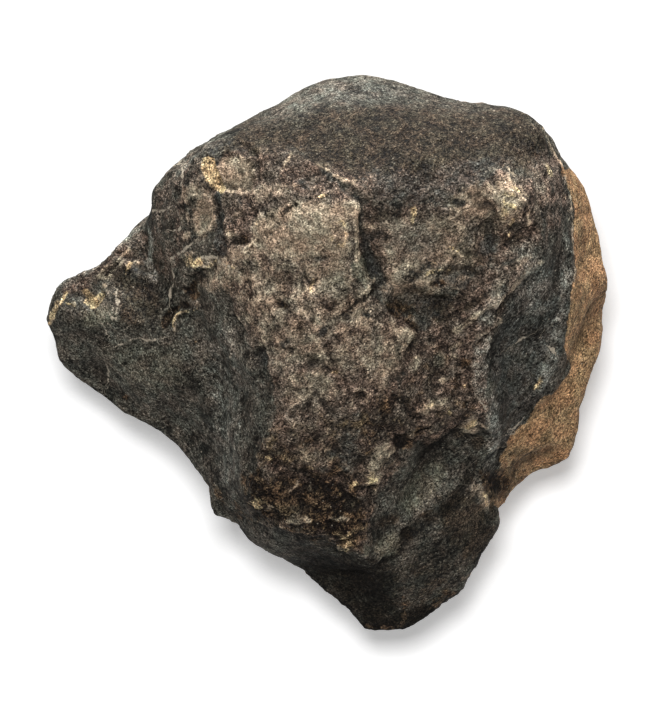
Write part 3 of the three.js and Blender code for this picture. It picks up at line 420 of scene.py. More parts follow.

# The dark spots that sink are painted shade in the pits.
SPOTS = [
    # slab's upper half
    Spot("pale", 0.7, -0.5, (-22, 21.5), (3, 2.5), 0),
    Spot("dark", 0.7, 0.3, (-23, 21), (1.5, 1), 0),
    Spot("pale", 0.9, -0.6, (-5, 18.5), (2.5, 1.5), 110),
    Spot("rust", 1, 0.8, (-4, 21), (2, 0.5), 45),
    Spot("cream", 0.6, -0.2, (2, 34), (2, 1), 80),
    Spot("cream", 0.5, -0.2, (5.5, 34.5), (2.5, 0.5), 75),
    Spot("cream", 0.7, -0.3, (-1, 46), (2, 0.5), 0),
    Spot("pale", 0.8, -0.3, (9, 40.5), (3, 1), 80),
    Spot("pale", 0.6, -0.3, (5.5, 19.5), (3.5, 1.5), 20),
    Spot("blue", 0.5, 0.2, (-2.5, 27), (2.5, 1), 0),
    Spot("dark", 0.5, 0.2, (-13.5, 21.5), (2, 1), 20),
    Spot("dark", 0.6, 0.3, (-13.5, 14.5), (2.5, 1), 10),
    Spot("pale", 0.5, -0.2, (-12.5, 10.5), (3, 1), 0),
    Spot("dark", 0.5, 0.2, (-7, 7.5), (2.5, 1.5), 90),
    Spot("blue", 0.7, 0.3, (-1, 6.5), (2.5, 1.5), 50),
    Spot("blue", 0.6, 0.2, (-11.5, 3.5), (2, 1.5), 0),
    Spot("pale", 0.8, -0.4, (-18.5, 3.5), (2.5, 1), 25),
    Spot("dark", 0.9, 0.3, (-18.5, 2), (2.5, 0.5), 28),
    Spot("blue", 0.8, 0.2, (-19.5, -1.5), (2.5, 2), 90),
    Spot("pale", 0.6, -0.3, (-15, 1), (1.5, 1), 60),
    Spot("pale", 0.5, -0.3, (-7.5, 4), (2, 1), 50),
    Spot("dark", 0.6, 0.2, (-4, -2), (2.5, 2), -45),
    Spot("pale", 0.6, -0.3, (9, 9), (2.5, 1.5), 0),
    Spot("pale", 0.4, -0.2, (14, -3), (3, 2), 0),
    Spot("cream", 0.7, -0.2, (3, -5), (2, 0.5), 10),
    Spot("pale", 0.6, -0.2, (-25.5, 40.5), (2.5, 1), 30),
    Spot("pale", 0.8, -0.3, (-28, 34.5), (2, 1), 20),
    Spot("rust", 1, 0.7, (-25, 32.5), (2.5, 1), 0),
    Spot("rust", 0.9, 0.5, (-21, 31.5), (2.5, 0.5), 42),
    Spot("cream", 0.6, 0, (-20, 38.5), (1, 0.5), 75),
    Spot("cream", 0.6, -0.2, (-28, 25.5), (2, 0.5), -20),
    Spot("pale", 0.7, -0.2, (-26, 11.5), (2.5, 0.5), -50),
    Spot("dark", 0.9, 0.2, (-26, 9), (1, 0.5), 0),
    # slab's lower half
    Spot("pale", 0.4, 0, (-7.5, -9), (4.5, 2), 0),
    Spot("dark", 1, 0.9, (10, -12), (2.5, 1), 0),
    Spot("blue", 0.6, -0.6, (8.5, -17), (2, 1.5), 0),
    Spot("pale", 0.5, -0.3, (-3, -16), (2, 1), 0),
    Spot("pale", 0.4, -0.3, (-12, -20.5), (3, 1), 0),
    Spot("dark", 0.5, 0.4, (-17.5, -15.5), (2.5, 1.5), 0),
    Spot("dark", 0.6, 0.5, (-7.5, -16), (3.5, 1.5), 20),
    Spot("dark", 0.8, 0.5, (-16, -29), (4, 1), 10),
    Spot("rust", 0.7, 0.5, (-4, -26), (2.5, 1), 20),
    Spot("blue", 0.7, 0.3, (1.5, -29), (2.5, 1), 0),
    Spot("cream", 0.5, -0.3, (-5.5, -33), (2.5, 1), 0),
    Spot("dark", 1, 0.9, (5, -34.5), (1.5, 1), 0),
    Spot("blue", 0.5, -0.3, (-0.5, -33), (3, 2), 0),
    Spot("cream", 0.4, 0, (-17, -31), (2, 1), 0),
    Spot("pale", 0.5, -0.4, (14, -29.5), (3.5, 1), 65),
    Spot("cream", 0.5, -0.7, (13, -35), (3, 2), 70),
    Spot("dark", 1, 1.6, (-8, -44.5), (3.5, 2.5), 0),
    Spot("rust", 0.9, 0.6, (-12.5, -38), (4, 1.5), 10),
    Spot("rust", 0.9, 0.5, (-20.5, -37), (4, 2), 90),
    Spot("dark", 0.9, 0.8, (7, -44.5), (2.5, 2), 0),
    Spot("dark", 0.9, 0.6, (11.5, -39), (3, 1), 0),
    Spot("pale", 0.7, -0.5, (-10, -39), (2.5, 1), 50),
    Spot("pale", 0.5, -0.4, (-5, -39), (1.5, 1), 70),
    Spot("cream", 0.5, -0.4, (7.5, -38.5), (2.5, 1), 50),
    Spot("cream", 0.5, -0.4, (3.5, -41), (1.5, 1), 0),
    Spot("cream", 0.6, -0.5, (-20.5, -43.5), (2.5, 1.5), -10),
    Spot("pale", 0.8, -0.3, (-16.5, -45), (1.5, 0.5), 0),
    Spot("pale", 0.6, -0.8, (-8.5, -49), (3, 1), 0),
    Spot("dark", 1, 1, (-8.5, -51.5), (2.5, 0.5), 0),
    Spot("pale", 0.6, -0.5, (-13, -50), (1, 1), 0),
    Spot("dark", 1, 0.6, (-20.5, -48), (2, 1), -60),
    Spot("dark", 0.9, 0.6, (-15, -47.5), (2.5, 1), 90),
    Spot("cream", 0.5, -0.3, (-0.5, -51.5), (1.5, 1), -60),
    Spot("cream", 0.35, -0.3, (4.5, -53), (4, 1), 0),
    Spot("cream", 0.45, -0.4, (6, -57), (2.5, 1.5), 0),
    Spot("dark", 0.8, 0.6, (1, -50.5), (2, 0.5), 0),
    Spot("dark", 0.7, 0.5, (-5, -52), (2.5, 0.5), 0),
    Spot("olive", 0.7, -0.2, (11.5, -57.5), (2, 1), 90),
    # upper face
    Spot("pale", 0.8, -0.2, (5.5, 50), (2, 0.5), 10),
    Spot("pale", 0.7, -0.3, (-0.5, 56), (2, 1), -40),
    Spot("pale", 0.5, -0.2, (31, 70), (2, 1), 0),
    Spot("pale", 0.4, -0.3, (30, 59.5), (2, 1), 0),
    Spot("blue", 0.6, 0.5, (-7, 50), (2.5, 1), -30),
    Spot("dark", 0.5, 0.3, (-22, 55), (2.5, 1), 60),
    # bowl
    Spot("pale", 0.5, -0.2, (12.5, 37), (2.5, 1.5), 0),
    Spot("cream", 0.5, -0.2, (24.5, 40.5), (2, 1), 90),
    Spot("dark", 0.5, 0.3, (16, 40), (5.5, 2), 0),
    Spot("dark", 0.7, 0.4, (37.5, 44.5), (3, 1), 0),
    Spot("blue", 0.3, 0, (26.5, 35.5), (3, 2), 45),
    Spot("blue", 0.3, 0, (24.5, 32), (5, 3.5), 0),
    Spot("pale", 0.8, -0.3, (23.5, 26), (1.5, 1), -45),
    Spot("cream", 0.6, -0.2, (30, 26.5), (2, 1), 0),
    Spot("cream", 0.6, -0.2, (30.5, 23.5), (2.5, 0.5), 0),
    Spot("dark", 0.8, 0.3, (36, 24.5), (3, 1.5), 30),
    Spot("dark", 0.8, 0.3, (42, 25), (3, 1.5), -20),
    Spot("pale", 0.5, -0.4, (40, 22.5), (2.5, 1), 0),
    Spot("rust", 0.8, 0.5, (32.5, 20.5), (2.5, 1.5), 0),
    Spot("pale", 0.4, -0.3, (26, 20.5), (3.5, 2), 0),
    Spot("pale", 0.5, -0.3, (17.5, 19), (2, 1), -30),
    Spot("rust", 0.8, 0.2, (21.5, 13.5), (5.5, 2.5), -15),
    Spot("dark", 0.7, 0.2, (33, 13.5), (5, 3), 15),
    Spot("dark", 0.8, 0.6, (25.5, 9), (2.5, 1), -20),
    Spot("blue", 0.8, 0.6, (12, 11), (2, 0.5), -10),
    # knob and right rim
    Spot("dark", 0.5, 0, (47, 34.5), (3, 1.5), 80),
    Spot("dark", 0.8, 0.5, (54, 33.5), (4, 1.5), 0),
    Spot("cream", 0.55, -0.6, (51.5, 41), (2.5, 1.5), 90),
    Spot("pale", 0.6, -0.4, (51.5, 37.5), (2, 1), 0),
    Spot("cream", 0.55, -0.4, (53, 46.5), (2.5, 1), 0),
    Spot("cream", 0.8, -0.2, (55.5, 48), (2, 0.5), -45),
    Spot("pale", 0.8, -0.3, (53.5, 53.5), (3, 0.5), -40),
    Spot("pale", 0.6, -0.3, (48, 48.5), (2, 1), -60),
    Spot("cream", 0.5, -0.3, (65, 54.5), (3, 1), -65),
    Spot("pale", 0.9, -0.4, (60.5, 66.5), (4, 0.5), -50),
    Spot("pale", 0.8, -0.3, (63, 64), (2.5, 0.5), -40),
    Spot("rust", 0.6, 0.3, (61, 60), (3.5, 2), -30),
    Spot("pale", 0.6, -0.2, (57, 27), (4, 1.5), 35),
    Spot("dark", 0.9, 0.5, (55, 26), (2, 0.5), 25),
    Spot("pale", 0.7, -0.4, (49.5, 18.5), (4.5, 1.5), 55),
    # valley
    Spot("pale", 0.8, -0.4, (22, 6.5), (4.5, 1.5), -5),
    Spot("rust", 0.8, 0.6, (25, 2.5), (3, 1), 60),
    Spot("pale", 0.5, -0.4, (25.5, -2.5), (4, 2), 60),
    Spot("olive", 0.6, 0.3, (33, -2), (4, 2), 75),
    Spot("rust", 0.6, 0.4, (44.5, 3.5), (2.5, 1), 40),
    Spot("pale", 0.5, -0.4, (37.5, -0.5), (1.5, 1), 0),
    Spot("rust", 0.7, 0.5, (39.5, -2.5), (2, 1), 45),
    Spot("rust", 0.7, 0.5, (38.5, -8), (2.5, 1.5), 80),
    Spot("pale", 0.8, -0.5, (34, -7.5), (1.5, 1), 30),
    Spot("cream", 0.6, -0.4, (40.5, -9), (1, 1), 0),
    Spot("cream", 0.3, -0.6, (30.5, -14.5), (3, 1), 35),
    Spot("rust", 0.8, 0.5, (40.5, -14), (2, 1), 90),
    Spot("dark", 0.9, 0.6, (23, -13), (2, 1), 0),
    Spot("cream", 0.6, -0.3, (35.5, -17.5), (1, 1), 0),
    Spot("cream", 0.7, -0.6, (42.5, -20.5), (2.5, 1), 15),
    Spot("rust", 0.8, 0.5, (27.5, -22), (2.5, 1.5), 60),
    Spot("dark", 0.9, 0.6, (22, -26), (2.5, 2), 45),
    Spot("dark", 0.9, 0.5, (40, -24), (4, 1.5), -10),
    Spot("dark", 1, 0.7, (44.5, -26.5), (2.5, 2), 90),
    Spot("dark", 0.9, 0.6, (30, -33), (2.5, 1.5), 35),
    Spot("dark", 0.9, 0.5, (44.5, -34), (3, 0.5), 75),
    Spot("olive", 0.6, 0, (49.5, -10), (3, 1.5), 85),
    Spot("cream", 0.9, -0.3, (62.5, -8.5), (2, 0.5), 60),
    Spot("cream", 0.5, -0.3, (54, -32), (2, 1), 90),
    Spot("dark", 0.8, 0.5, (52, -37.5), (2, 1), 0),
    Spot("rust", 0.6, 0.3, (57, -36), (2.5, 1.5), 45),
    Spot("cream", 0.5, -0.3, (47, -43), (3, 1), -65),
    Spot("dark", 0.9, 0.4, (49.5, -46), (2, 1), -60),
    # foot
    Spot("dark", 1, 0.7, (23.5, -53.5), (2.5, 1), 60),
    Spot("dark", 0.9, 0.6, (30, -47), (2.5, 1), 35),
    Spot("dark", 0.9, 0.2, (18, -49), (4, 2.5), 20),
    Spot("dark", 0.9, 0.2, (24.5, -53), (3, 2), 60),
    Spot("dark", 0.7, 0.4, (38, -41.5), (4, 1.5), 40),
    Spot("dark", 0.9, 0.4, (10, -68), (6, 3.5), 80),
    Spot("dark", 0.5, 0.3, (41, -57), (3.5, 1.5), 50),
    Spot("pale", 0.5, -0.2, (41, -67), (2, 1), 30),
    Spot("rust", 0.8, 0.3, (35.5, -75), (4, 1), 30),
    Spot("pale", 0.4, -0.2, (9, -68.5), (2, 0.5), 10),
    Spot("rust", 1, 0.4, (17.5, -82.5), (4.5, 0.5), 0),
    Spot("pale", 0.7, -0.2, (2, -73), (2, 0.5), -30),
    # nose
    Spot("cream", 0.8, 0.3, (-70.5, 15.5), (2.5, 1), -15),
    Spot("cream", 0.7, 0.3, (-72, 18.5), (2, 0.5), 100),
    Spot("pale", 0.8, -0.2, (-75.5, 15), (1, 0.5), 90),
    Spot("cream", 0.8, -0.2, (-78, 17), (3, 0.5), 65),
    Spot("cream", 0.6, 0, (-80.5, 13.5), (2.5, 1), 65),
    Spot("pale", 0.9, -0.2, (-82.5, 10), (2, 0.5), 50),
    Spot("pale", 0.8, -0.2, (-66, 19.5), (2, 0.5), 85),
    Spot("pale", 0.8, -0.2, (-63, 18), (0.5, 0.5), 90),
    Spot("pale", 0.8, -0.4, (-66.5, 24.5), (3, 0.5), 42),
    Spot("pale", 0.7, -0.3, (-61, 29.5), (4.5, 0.5), 50),
    Spot("cream", 0.6, -0.3, (-59, 25.5), (2, 1), 60),
    Spot("dark", 0.6, 0.4, (-64, 25), (4, 0.5), 50),
    Spot("rust", 0.9, 0.3, (-60.5, -13), (1.5, 1), 0),
    Spot("olive", 0.5, 0, (-51, -9), (4, 3.5), 0),
    # flank and left wall
    Spot("cream", 0.8, -0.6, (-37.5, 27), (2.5, 1.5), 20),
    Spot("pale", 0.6, -0.4, (-40.5, 29.5), (3, 1), 15),
    Spot("rust", 1, 0.9, (-39.5, 19.5), (3, 1.5), 60),
    Spot("dark", 0.9, 0.5, (-42, 14.5), (2.5, 1), 0),
    Spot("rust", 1, 0.8, (-47.5, 10), (3, 1), 60),
    Spot("pale", 0.5, -0.2, (-38, 15), (1.5, 1), 0),
    Spot("pale", 0.7, -0.3, (-43, 12), (3, 0.5), 25),
    Spot("pale", 0.5, -0.2, (-45, 8), (2.5, 0.5), 85),
    Spot("pale", 0.8, -0.4, (-41, 35), (2, 1), 40),
    Spot("pale", 0.5, -0.2, (-42.5, 40), (2.5, 0.5), -75),
    Spot("cream", 0.6, 0, (-38.5, 4), (1, 0.5), 0),
    Spot("olive", 0.4, 0, (-35.5, -0.5), (2, 1.5), 0),
    Spot("pale", 0.5, -0.2, (-28, -2), (4.5, 0.5), 85),
    Spot("pale", 0.4, 0, (-27, -29.5), (3.5, 0.5), 85),
    Spot("dark", 0.6, 0.3, (-17.5, -7), (4.5, 1), 90),
    Spot("blue", 0.7, 0.6, (-40, 42), (3, 0.5), 90),
]

# Low sides are on the right of the path as it runs.
STEPS = [
    Step("print's right side", 0.9, 4, [
        (-37, 35.5), (-34.5, 36.5), (-33.5, 39.5), (-33.5, 43), (-35, 46), (-37, 47)]),
    Step("thumbprint's upper rim", 0.6, 4, [(-33.5, 57), (-29.5, 60), (-25, 62), (-20.5, 60)]),
    Step("thumbprint's lower rim", 0.6, 4, [
        (-20.5, 59.5), (-18.5, 55), (-20, 51), (-22, 48), (-26.5, 47), (-30.5, 49.5)]),
    Step("brow", 0.8, 5, [(10, 43), (7, 45), (2.5, 47.5), (-2.5, 49.5), (-7.5, 50.5)]),
    Step("slab's right side", 0.9, 5, [
        (13.5, 18.5), (13.5, 21), (12.5, 24), (13.5, 26.5), (11.5, 29), (12, 31.5), (11, 34)]),
    Step("slab's upper right side", 0.2, 4, [(11, 34), (11.5, 36.5), (10, 39), (11, 41.5), (9.5, 43.5)]),
    Step("slab's left side", 1, 6, [
        (-27.5, 14.5), (-26, 10.5), (-24.5, 8.5), (-24.5, 4.5), (-21.5, 1.5), (-18.5, 1.5)]),
    Step("slab's lower left side", 0.7, 6, [
        (-18.5, 1.5), (-18, -4.5), (-16.5, -12), (-17, -19), (-19, -26.5), (-21, -32.5), (-22.5, -40)]),
    Step("shell", 1.2, 5, [(-40, 24), (-37, 24.5), (-35, 25.5), (-33.5, 28)]),
    Step("seam", 0.8, 5, [(5.5, 12.5), (9, 15.5), (12, 17.5), (15, 21)]),
    Step("scoop's brow", 0.6, 5, [(33.5, 24), (36.5, 26.5), (40.5, 27), (45, 26)]),
    Step("scoop's floor", 0.4, 5, [(20, 16.5), (25, 16), (30.5, 17), (35.5, 16)]),
    Step("ridge's lower side", 0.9, 6, [(37.5, 7), (43.5, 10.5), (48.5, 14.5), (53, 18.5), (56.5, 22.5)]),
    Step("knob's left side", 0.9, 5, [(46, 46), (48, 43.5), (49.5, 39.5), (49, 35.5)]),
    Step("knob's lower side", 0.8, 5, [(50.5, 35.5), (55, 36), (59, 37)]),
    Step("foot scoop's left side", 0.7, 4, [(25.5, -35.5), (27, -31.5), (29, -29.5)]),
    Step("low crack", 0.6, 5, [(6, -48.5), (1.5, -48), (-2, -47.5)]),
    Step("low rim", 0.7, 6, [(-21, -50), (-15, -52), (-9, -52.5), (-2.5, -54), (3.5, -57), (10, -59.5)]),
    Step("nose scar", 0.5, 3, [(-66.5, 17.5), (-68, 14.5), (-71.5, 14), (-73, 17)]),
    Step("nose ledge", 0.7, 6, [(-62, 1.5), (-59, 3.5), (-55, 4.5), (-50, 3.5)]),
    Step("lower slab's first lip", 0.4, 5, [(4, -36), (-1.5, -36.5), (-6.5, -36), (-10.5, -37.5)]),
    Step("lower slab's second lip", 0.6, 5, [(1, -27.5), (-2.5, -25), (-7, -26), (-12, -28)]),
    Step("lower slab's third lip", 0.5, 5, [(-17, -34), (-13.5, -35), (-10, -34.5)]),
    Step("slab's small lip", 0.5, 4, [(-21.5, 1.5), (-18.5, 2.5), (-16.5, 3.5)]),
    Step("slab's cut", 0.5, 4, [(-12.5, 3), (-9, 1.5), (-6, -1.5), (-2.5, -2.5)]),
    Step("grey face's fold", 0.5, 8, [(69, 17.5), (67, 10), (65.5, 6), (64.5, -1.5)]),
    Step("foot's fold", 0.6, 8, [(24, -56.5), (22.5, -61), (20.5, -67.5), (19.5, -75)]),
]

# Thin pale veins, in the same millimetres.
VEINS = {
    "flank, top": [(-43, 57.5), (-42, 54), (-42, 51), (-42.5, 47.5)],
    "flank, crossing": [(-45, 56), (-42.5, 56.5), (-40.5, 56)],
    "flank, level": [(-51.5, 42.5), (-48, 42.5), (-45.5, 43.5)],
    "flank, middle": [(-44, 42), (-42.5, 39), (-43, 36.5), (-44.5, 36.5)],
    "flank, rising": [(-46, 28.5), (-44.5, 29), (-42, 30.5), (-39.5, 32.5)],
    "flank, falling": [(-46, 28), (-45.5, 25.5), (-45, 23.5)],
    "flank, low": [(-45, 22), (-46.5, 19), (-46.5, 17)],
    "flank, at the slab": [(-35.5, 28.5), (-33, 28.5), (-31.5, 27), (-28.5, 25.5)],
    "nose, upper": [(-62.5, 18.5), (-62, 15.5), (-62.5, 11)],
    "nose, hook": [(-64.5, 12.5), (-63.5, 10.5), (-62.5, 10.5)],
    "nose, front": [(-68, 10.5), (-66.5, 9), (-65.5, 6.5)],
    "nose, ledge": [(-61.5, 3), (-59, 4), (-56.5, 5), (-53.5, 4), (-50.5, 4.5)],
    "nose, low": [(-66.5, -2), (-65.5, -5.5), (-66, -7.5)],
    "grey face, low": [(54.5, -22), (56, -21.5), (57.5, -20)],
    "grey face, middle": [(56, 3.5), (57.5, 4.5), (58.5, 5)],
    "grey face, right": [(66, 2), (67, 1)],
    "corner": [(49, -28.5), (50.5, -27.5), (51.5, -27.5)],
    "corner, second": [(53, -24), (55, -23.5)],
    "valley, low": [(45, -13.5), (47, -17), (48, -21)],
}


# ---- The coats ---------------------------------------------------------------------------------------------


class CoatLook(NamedTuple):
    """How a coat's edge and tone come about. Shares weigh blotches, mottle, crumbs and grains."""

    name: str
    ragged: float
    soft: float
    shares: tuple
    contrast: float
    level: float


# The skin is everywhere, so it has no edge.
SKIN = CoatLook("skin", 0, 0, (0.6, 0.7, 0.4, 0.3), 1.0, 0.42)

# The coats lie over the skin, and each of them over those before it.
COAT_LOOKS = [
    CoatLook("brown", 0.5, 0.25, (0.6, 0.5, 0.4, 0.3), 1.0, 0.45),
    # charred crust and painted shade
    CoatLook("charred", 0.5, 0.4, (0.5, 1.4, 0.7, 0.3), 1.7, 0.06),
    # bleached places and painted light
    CoatLook("pale", 0.4, 0.35, (0.3, 0.25, 0.3, 0.3), 1.0, 0.5),
    # burnt places and painted shade
    CoatLook("dark", 0.5, 0.4, (0.4, 0.7, 0.5, 0.3), 1.0, 0.42),
    # painted shade
    CoatLook("soot", 0.4, 0.45, (0.4, 0.6, 0.5, 0.3), 1.0, 0.42),
    CoatLook("olive", 0.2, 0.4, (0.3, 0.25, 0.35, 0.4), 0.9, 0.43),
    CoatLook("blue", 0.35, 0.3, (0.5, 0.7, 0.5, 0.4), 1.0, 0.45),
    # painted sheen and painted light
    CoatLook("silver", 0.3, 0.45, (0.3, 0.4, 0.5, 0.3), 1.0, 0.5),
    CoatLook("tan", 0.3, 0.2, (0.5, 0.5, 0.35, 0.3), 1.0, 0.5),
    CoatLook("rust", 0.45, 0.3, (0.5, 1.5, 0.6, 0.3), 1.3, 0.1),
    CoatLook("cream", 0.35, 0.3, (0.3, 0.5, 0.5, 0.4), 1.1, 0.55),
]

# A folded place has no colour of its own. There the brown crust's relief is higher.
COATS = ["folded", *(look.name for look in COAT_LOOKS)]

# Sizes of the blotches, crumbs and grains in the coats' colours, in millimetres
BLOTCH_SIZE = 13
MOTTLE_SIZE = 4.5
CRUMB_SIZE = 1.1
GRAIN_SIZE = 0.9
FINE_SIZE = 0.42
SPECK_SIZE = 0.38
HUE_SIZE = 5.5
FLECK_SPACING = 2.2


# ---- Sizes and colours that a user would change ------------------------------------------------------------


def size(name, description, default):
    return FloatProperty(name=name, description=description, default=default * MM, unit="LENGTH", precision=5)


def colour(name, description, default):
    return FloatVectorProperty(
        name=name, description=description, default=default, subtype="COLOR", min=0, max=1
    )


class MeteoriteRelief(bpy.types.PropertyGroup):
    """How finely the stone is divided, and how uneven its crust is."""

    divisions: IntProperty(
        name="Divisions", description="Times that each face is divided", default=2, min=0, max=2
    )
    wander: size("Wander", "How far the edges of patches and lines stray", 1.2)
    swells: size("Swells", "Height of the shallow swells all over", 0.5)
    scales: size("Scales", "Height of the creased scales of the brown crust", 1.7)
    folds: size("Folds", "Height of the narrow ridges of the folded brown crust", 0.8)
    skin_scales: size("Skin scales", "Height of the creased scales of the smooth skin", 0.4)
    crumbs: size("Crumbs", "Height of the crumbs of the brown crust", 0.45)
    skin_crumbs: size("Skin crumbs", "Height of the crumbs of the smooth skin", 0.12)
    pits: size("Pits", "Depth of the small pits in the brown crust", 0.35)
    grain: size("Grain", "Height of the finest grain", 0.4)


class MeteoriteColours(bpy.types.PropertyGroup):
    """Dark and light tones of the skin and of the coats, and the colour of the veins."""

    skin_dark: colour("Skin, dark", "Dark tone of the smooth grey skin", (0.013, 0.012, 0.0098))
    skin_light: colour("Skin, light", "Light tone of the smooth grey skin", (0.15, 0.137, 0.112))
    brown_dark: colour("Brown, dark", "Dark tone of the rough brown crust", (0.03, 0.021, 0.015))
    brown_light: colour("Brown, light", "Light tone of the rough brown crust", (0.228, 0.175, 0.139))
    # tones of the burnt places and the painted shade
    dark_dark: colour("Burnt, dark", "Dark tone of the burnt places", (0.007, 0.0056, 0.0042))
    dark_light: colour("Burnt, light", "Light tone of the burnt places", (0.09, 0.07, 0.0485))
    # tones of the charred crust and its painted shade
    charred_dark: colour("Charred, dark", "Dark tone of the charred brown crust", (0.006, 0.0032, 0.0018))
    charred_light: colour("Charred, light", "Light tone of the charred brown crust", (0.125, 0.085, 0.05))
    # tones of the painted shade
    soot_dark: colour("Painted shade, dark", "Dark tone of the blackest places", (0.003, 0.0024, 0.0017))
    soot_light: colour("Painted shade, light", "Light tone of the blackest places", (0.024, 0.019, 0.013))
    # tones of the bleached places and the painted light
    pale_dark: colour("Pale, dark", "Dark tone of the bleached places", (0.125, 0.094, 0.066))
    pale_light: colour("Pale, light", "Light tone of the bleached places", (0.54, 0.44, 0.33))
    cream_dark: colour("Cream, dark", "Dark tone of the cream scars", (0.25, 0.17, 0.09))
    cream_light: colour("Cream, light", "Light tone of the cream scars", (0.75, 0.58, 0.34))
    # tones of the painted sheen and painted light on the grey skin
    silver_dark: colour("Silver, dark", "Dark tone of the painted sheen on the grey skin", (0.08, 0.078, 0.069))
    silver_light: colour("Silver, light", "Light tone of the painted sheen on the grey skin", (0.42, 0.405, 0.35))
    rust_dark: colour("Rust, dark", "Dark tone of the rusty hollows", (0.006, 0.0035, 0.002))
    rust_light: colour("Rust, light", "Light tone of the rusty hollows", (0.14, 0.094, 0.057))
    blue_dark: colour("Blue-grey, dark", "Dark tone of the blue-grey skin", (0.016, 0.0155, 0.0145))
    blue_light: colour("Blue-grey, light", "Light tone of the blue-grey skin", (0.1, 0.097, 0.086))
    olive_dark: colour("Olive, dark", "Dark tone of the olive scoops", (0.06, 0.057, 0.042))
    olive_light: colour("Olive, light", "Light tone of the olive scoops", (0.22, 0.208, 0.158))
    tan_dark: colour("Tan, dark", "Dark tone of the weathered side", (0.12, 0.068, 0.031))
    tan_light: colour("Tan, light", "Light tone of the weathered side", (0.53, 0.33, 0.178))
    vein: colour("Veins", "Pale filling of the veins and flecks", (0.55, 0.47, 0.36))


class MeteoriteStage(bpy.types.PropertyGroup):
    """The floor, the lights and the camera."""

    floor_width: FloatProperty(name="Floor width", description="Side of the floor", default=8, unit="LENGTH")
    floor_colour: colour("Floor colour", "Plain pale floor", (0.9, 0.9, 0.9))
    floor_glow: FloatProperty(name="Floor glow", description="Light that the floor gives off", default=0.4)
    key_power: FloatProperty(
        name="Key light", description="Power of the soft light above", default=44, unit="POWER"
    )
    window_power: FloatProperty(
        name="Window light", description="Power of the large light behind the crest", default=66, unit="POWER"
    )
    sky: FloatProperty(name="Sky", description="Brightness of the white surroundings", default=0.12)
    camera_height: FloatProperty(
        name="Camera height", description="Above the floor", default=1.8, unit="LENGTH"
    )
    lens: FloatProperty(name="Lens", description="Focal length", default=300, unit="CAMERA")


# ---- Carving -----------------------------------------------------------------------------------------------

# Wavelengths of the noise that shapes the crust, in millimetres
STRAY_WAVE = 7
SWELL_WAVE = 14
SCALE_WAVE = 7
FOLD_WAVE = 6
CRUMB_WAVE = 2.1
PIT_SPACING = 4
BLOTCH_WAVE = 26
LIME_WAVE = 15

# Each layer of noise is finer than the one before by the factor of shrinking. Its height is less by the same
# factor raised to the power of the fade.
LAYER_SHRINK = 2.1
LAYER_FADE = 0.8
RIDGE_FADE = 0.9

# How far apart corners of the solid count as one, in millimetres
SAME_PLACE = 0.001

# The upper side fades in between these upward parts of the normal.
UPPER_FADE = (-0.12, 0.1)

# A spot fades out between these multiples of its half sizes.
SPOT_FADE = (0.3, 1.5)

# A step falls between these distances from its path, in millimetres, below zero on its high side.
STEP_FALL = (-0.3, 0.6)

# The weathered side fades in between these distances towards it, in millimetres.
TAN_FADE = (60, 68)

# Vein offset of the points that no vein comes near, in millimetres
NO_VEIN = 9.0

# Passes of levelling before the surface's narrow and wide hollows are measured
NARROW_PASSES = 3
WIDE_PASSES = 40


def smooth_step(value, low, high):
    share = np.clip((value - low) / (high - low), 0, 1)
    return share * share * (3 - 2 * share)


def near_path(points, path):
    """Each point's distance from a path, and the side: below zero on its right, in plan."""
    distance = np.full(len(points), np.inf)
    side = np.ones(len(points))
    for start, end in zip(path[:-1], path[1:]):
        run = end - start
        offset = points - start
        share = np.clip(offset @ run / (run @ run), 0, 1)
        gap = np.linalg.norm(offset - share[:, None] * run, axis=1)
        nearer = gap < distance
        distance[nearer] = gap[nearer]
        side[nearer] = np.sign(run[0] * offset[nearer, 1] - run[1] * offset[nearer, 0])
    return distance, side


def inside_outline(points, outline):
    """Each point's distance inside an outline in plan, below zero outside."""
    corners = np.array([*outline, outline[0]], float)
    distance, _ = near_path(points, corners)
    inside = np.zeros(len(points), bool)
    for (x0, y0), (x1, y1) in zip(corners[:-1], corners[1:]):
        if y0 == y1:
            continue
        crosses = (y0 > points[:, 1]) != (y1 > points[:, 1])
        inside ^= crosses & (points[:, 0] < x0 + (points[:, 1] - y0) * (x1 - x0) / (y1 - y0))
    return np.where(inside, distance, -distance)


def noise_places(points, wave, seed):
    """Where each point reads its noise: counted in wavelengths, and shifted by the seed."""
    shift = Vector((seed, 2 * seed, 3 * seed))
    return [Vector(point) / wave + shift for point in points]


def layered_noise(points, wave, layers, seed):
    """Noise from about -1 to 1 at each point."""
    places = noise_places(points, wave, seed)
    return np.array([noise.fractal(place, LAYER_FADE, LAYER_SHRINK, layers) for place in places])


def creased_noise(points, wave, layers, seed):
    """Noise from about -1 to 1 with round scales and narrow creases between them."""
    scales = [noise.turbulence(place, layers, True) for place in noise_places(points, wave, seed)]
    return 2.5 * np.array(scales) - 1


def ridge_noise(points, wave, layers, seed):
    """Noise from about -1 to 1 with narrow ridges."""
    offset, gain = 1, 2
    ridges = [
        noise.ridged_multi_fractal(place, RIDGE_FADE, LAYER_SHRINK, layers, offset, gain)
        for place in noise_places(points, wave, seed)
    ]
    return 1.5 * (np.array(ridges) - 1)


def pit_noise(points, wave, seed):
    """1 at the middle of scattered round pits, and 0 outside them."""
    nearest = np.array([noise.voronoi(place)[0][0] for place in noise_places(points, wave, seed)])
    return 1 - smooth_step(nearest, 0.1, 0.38)


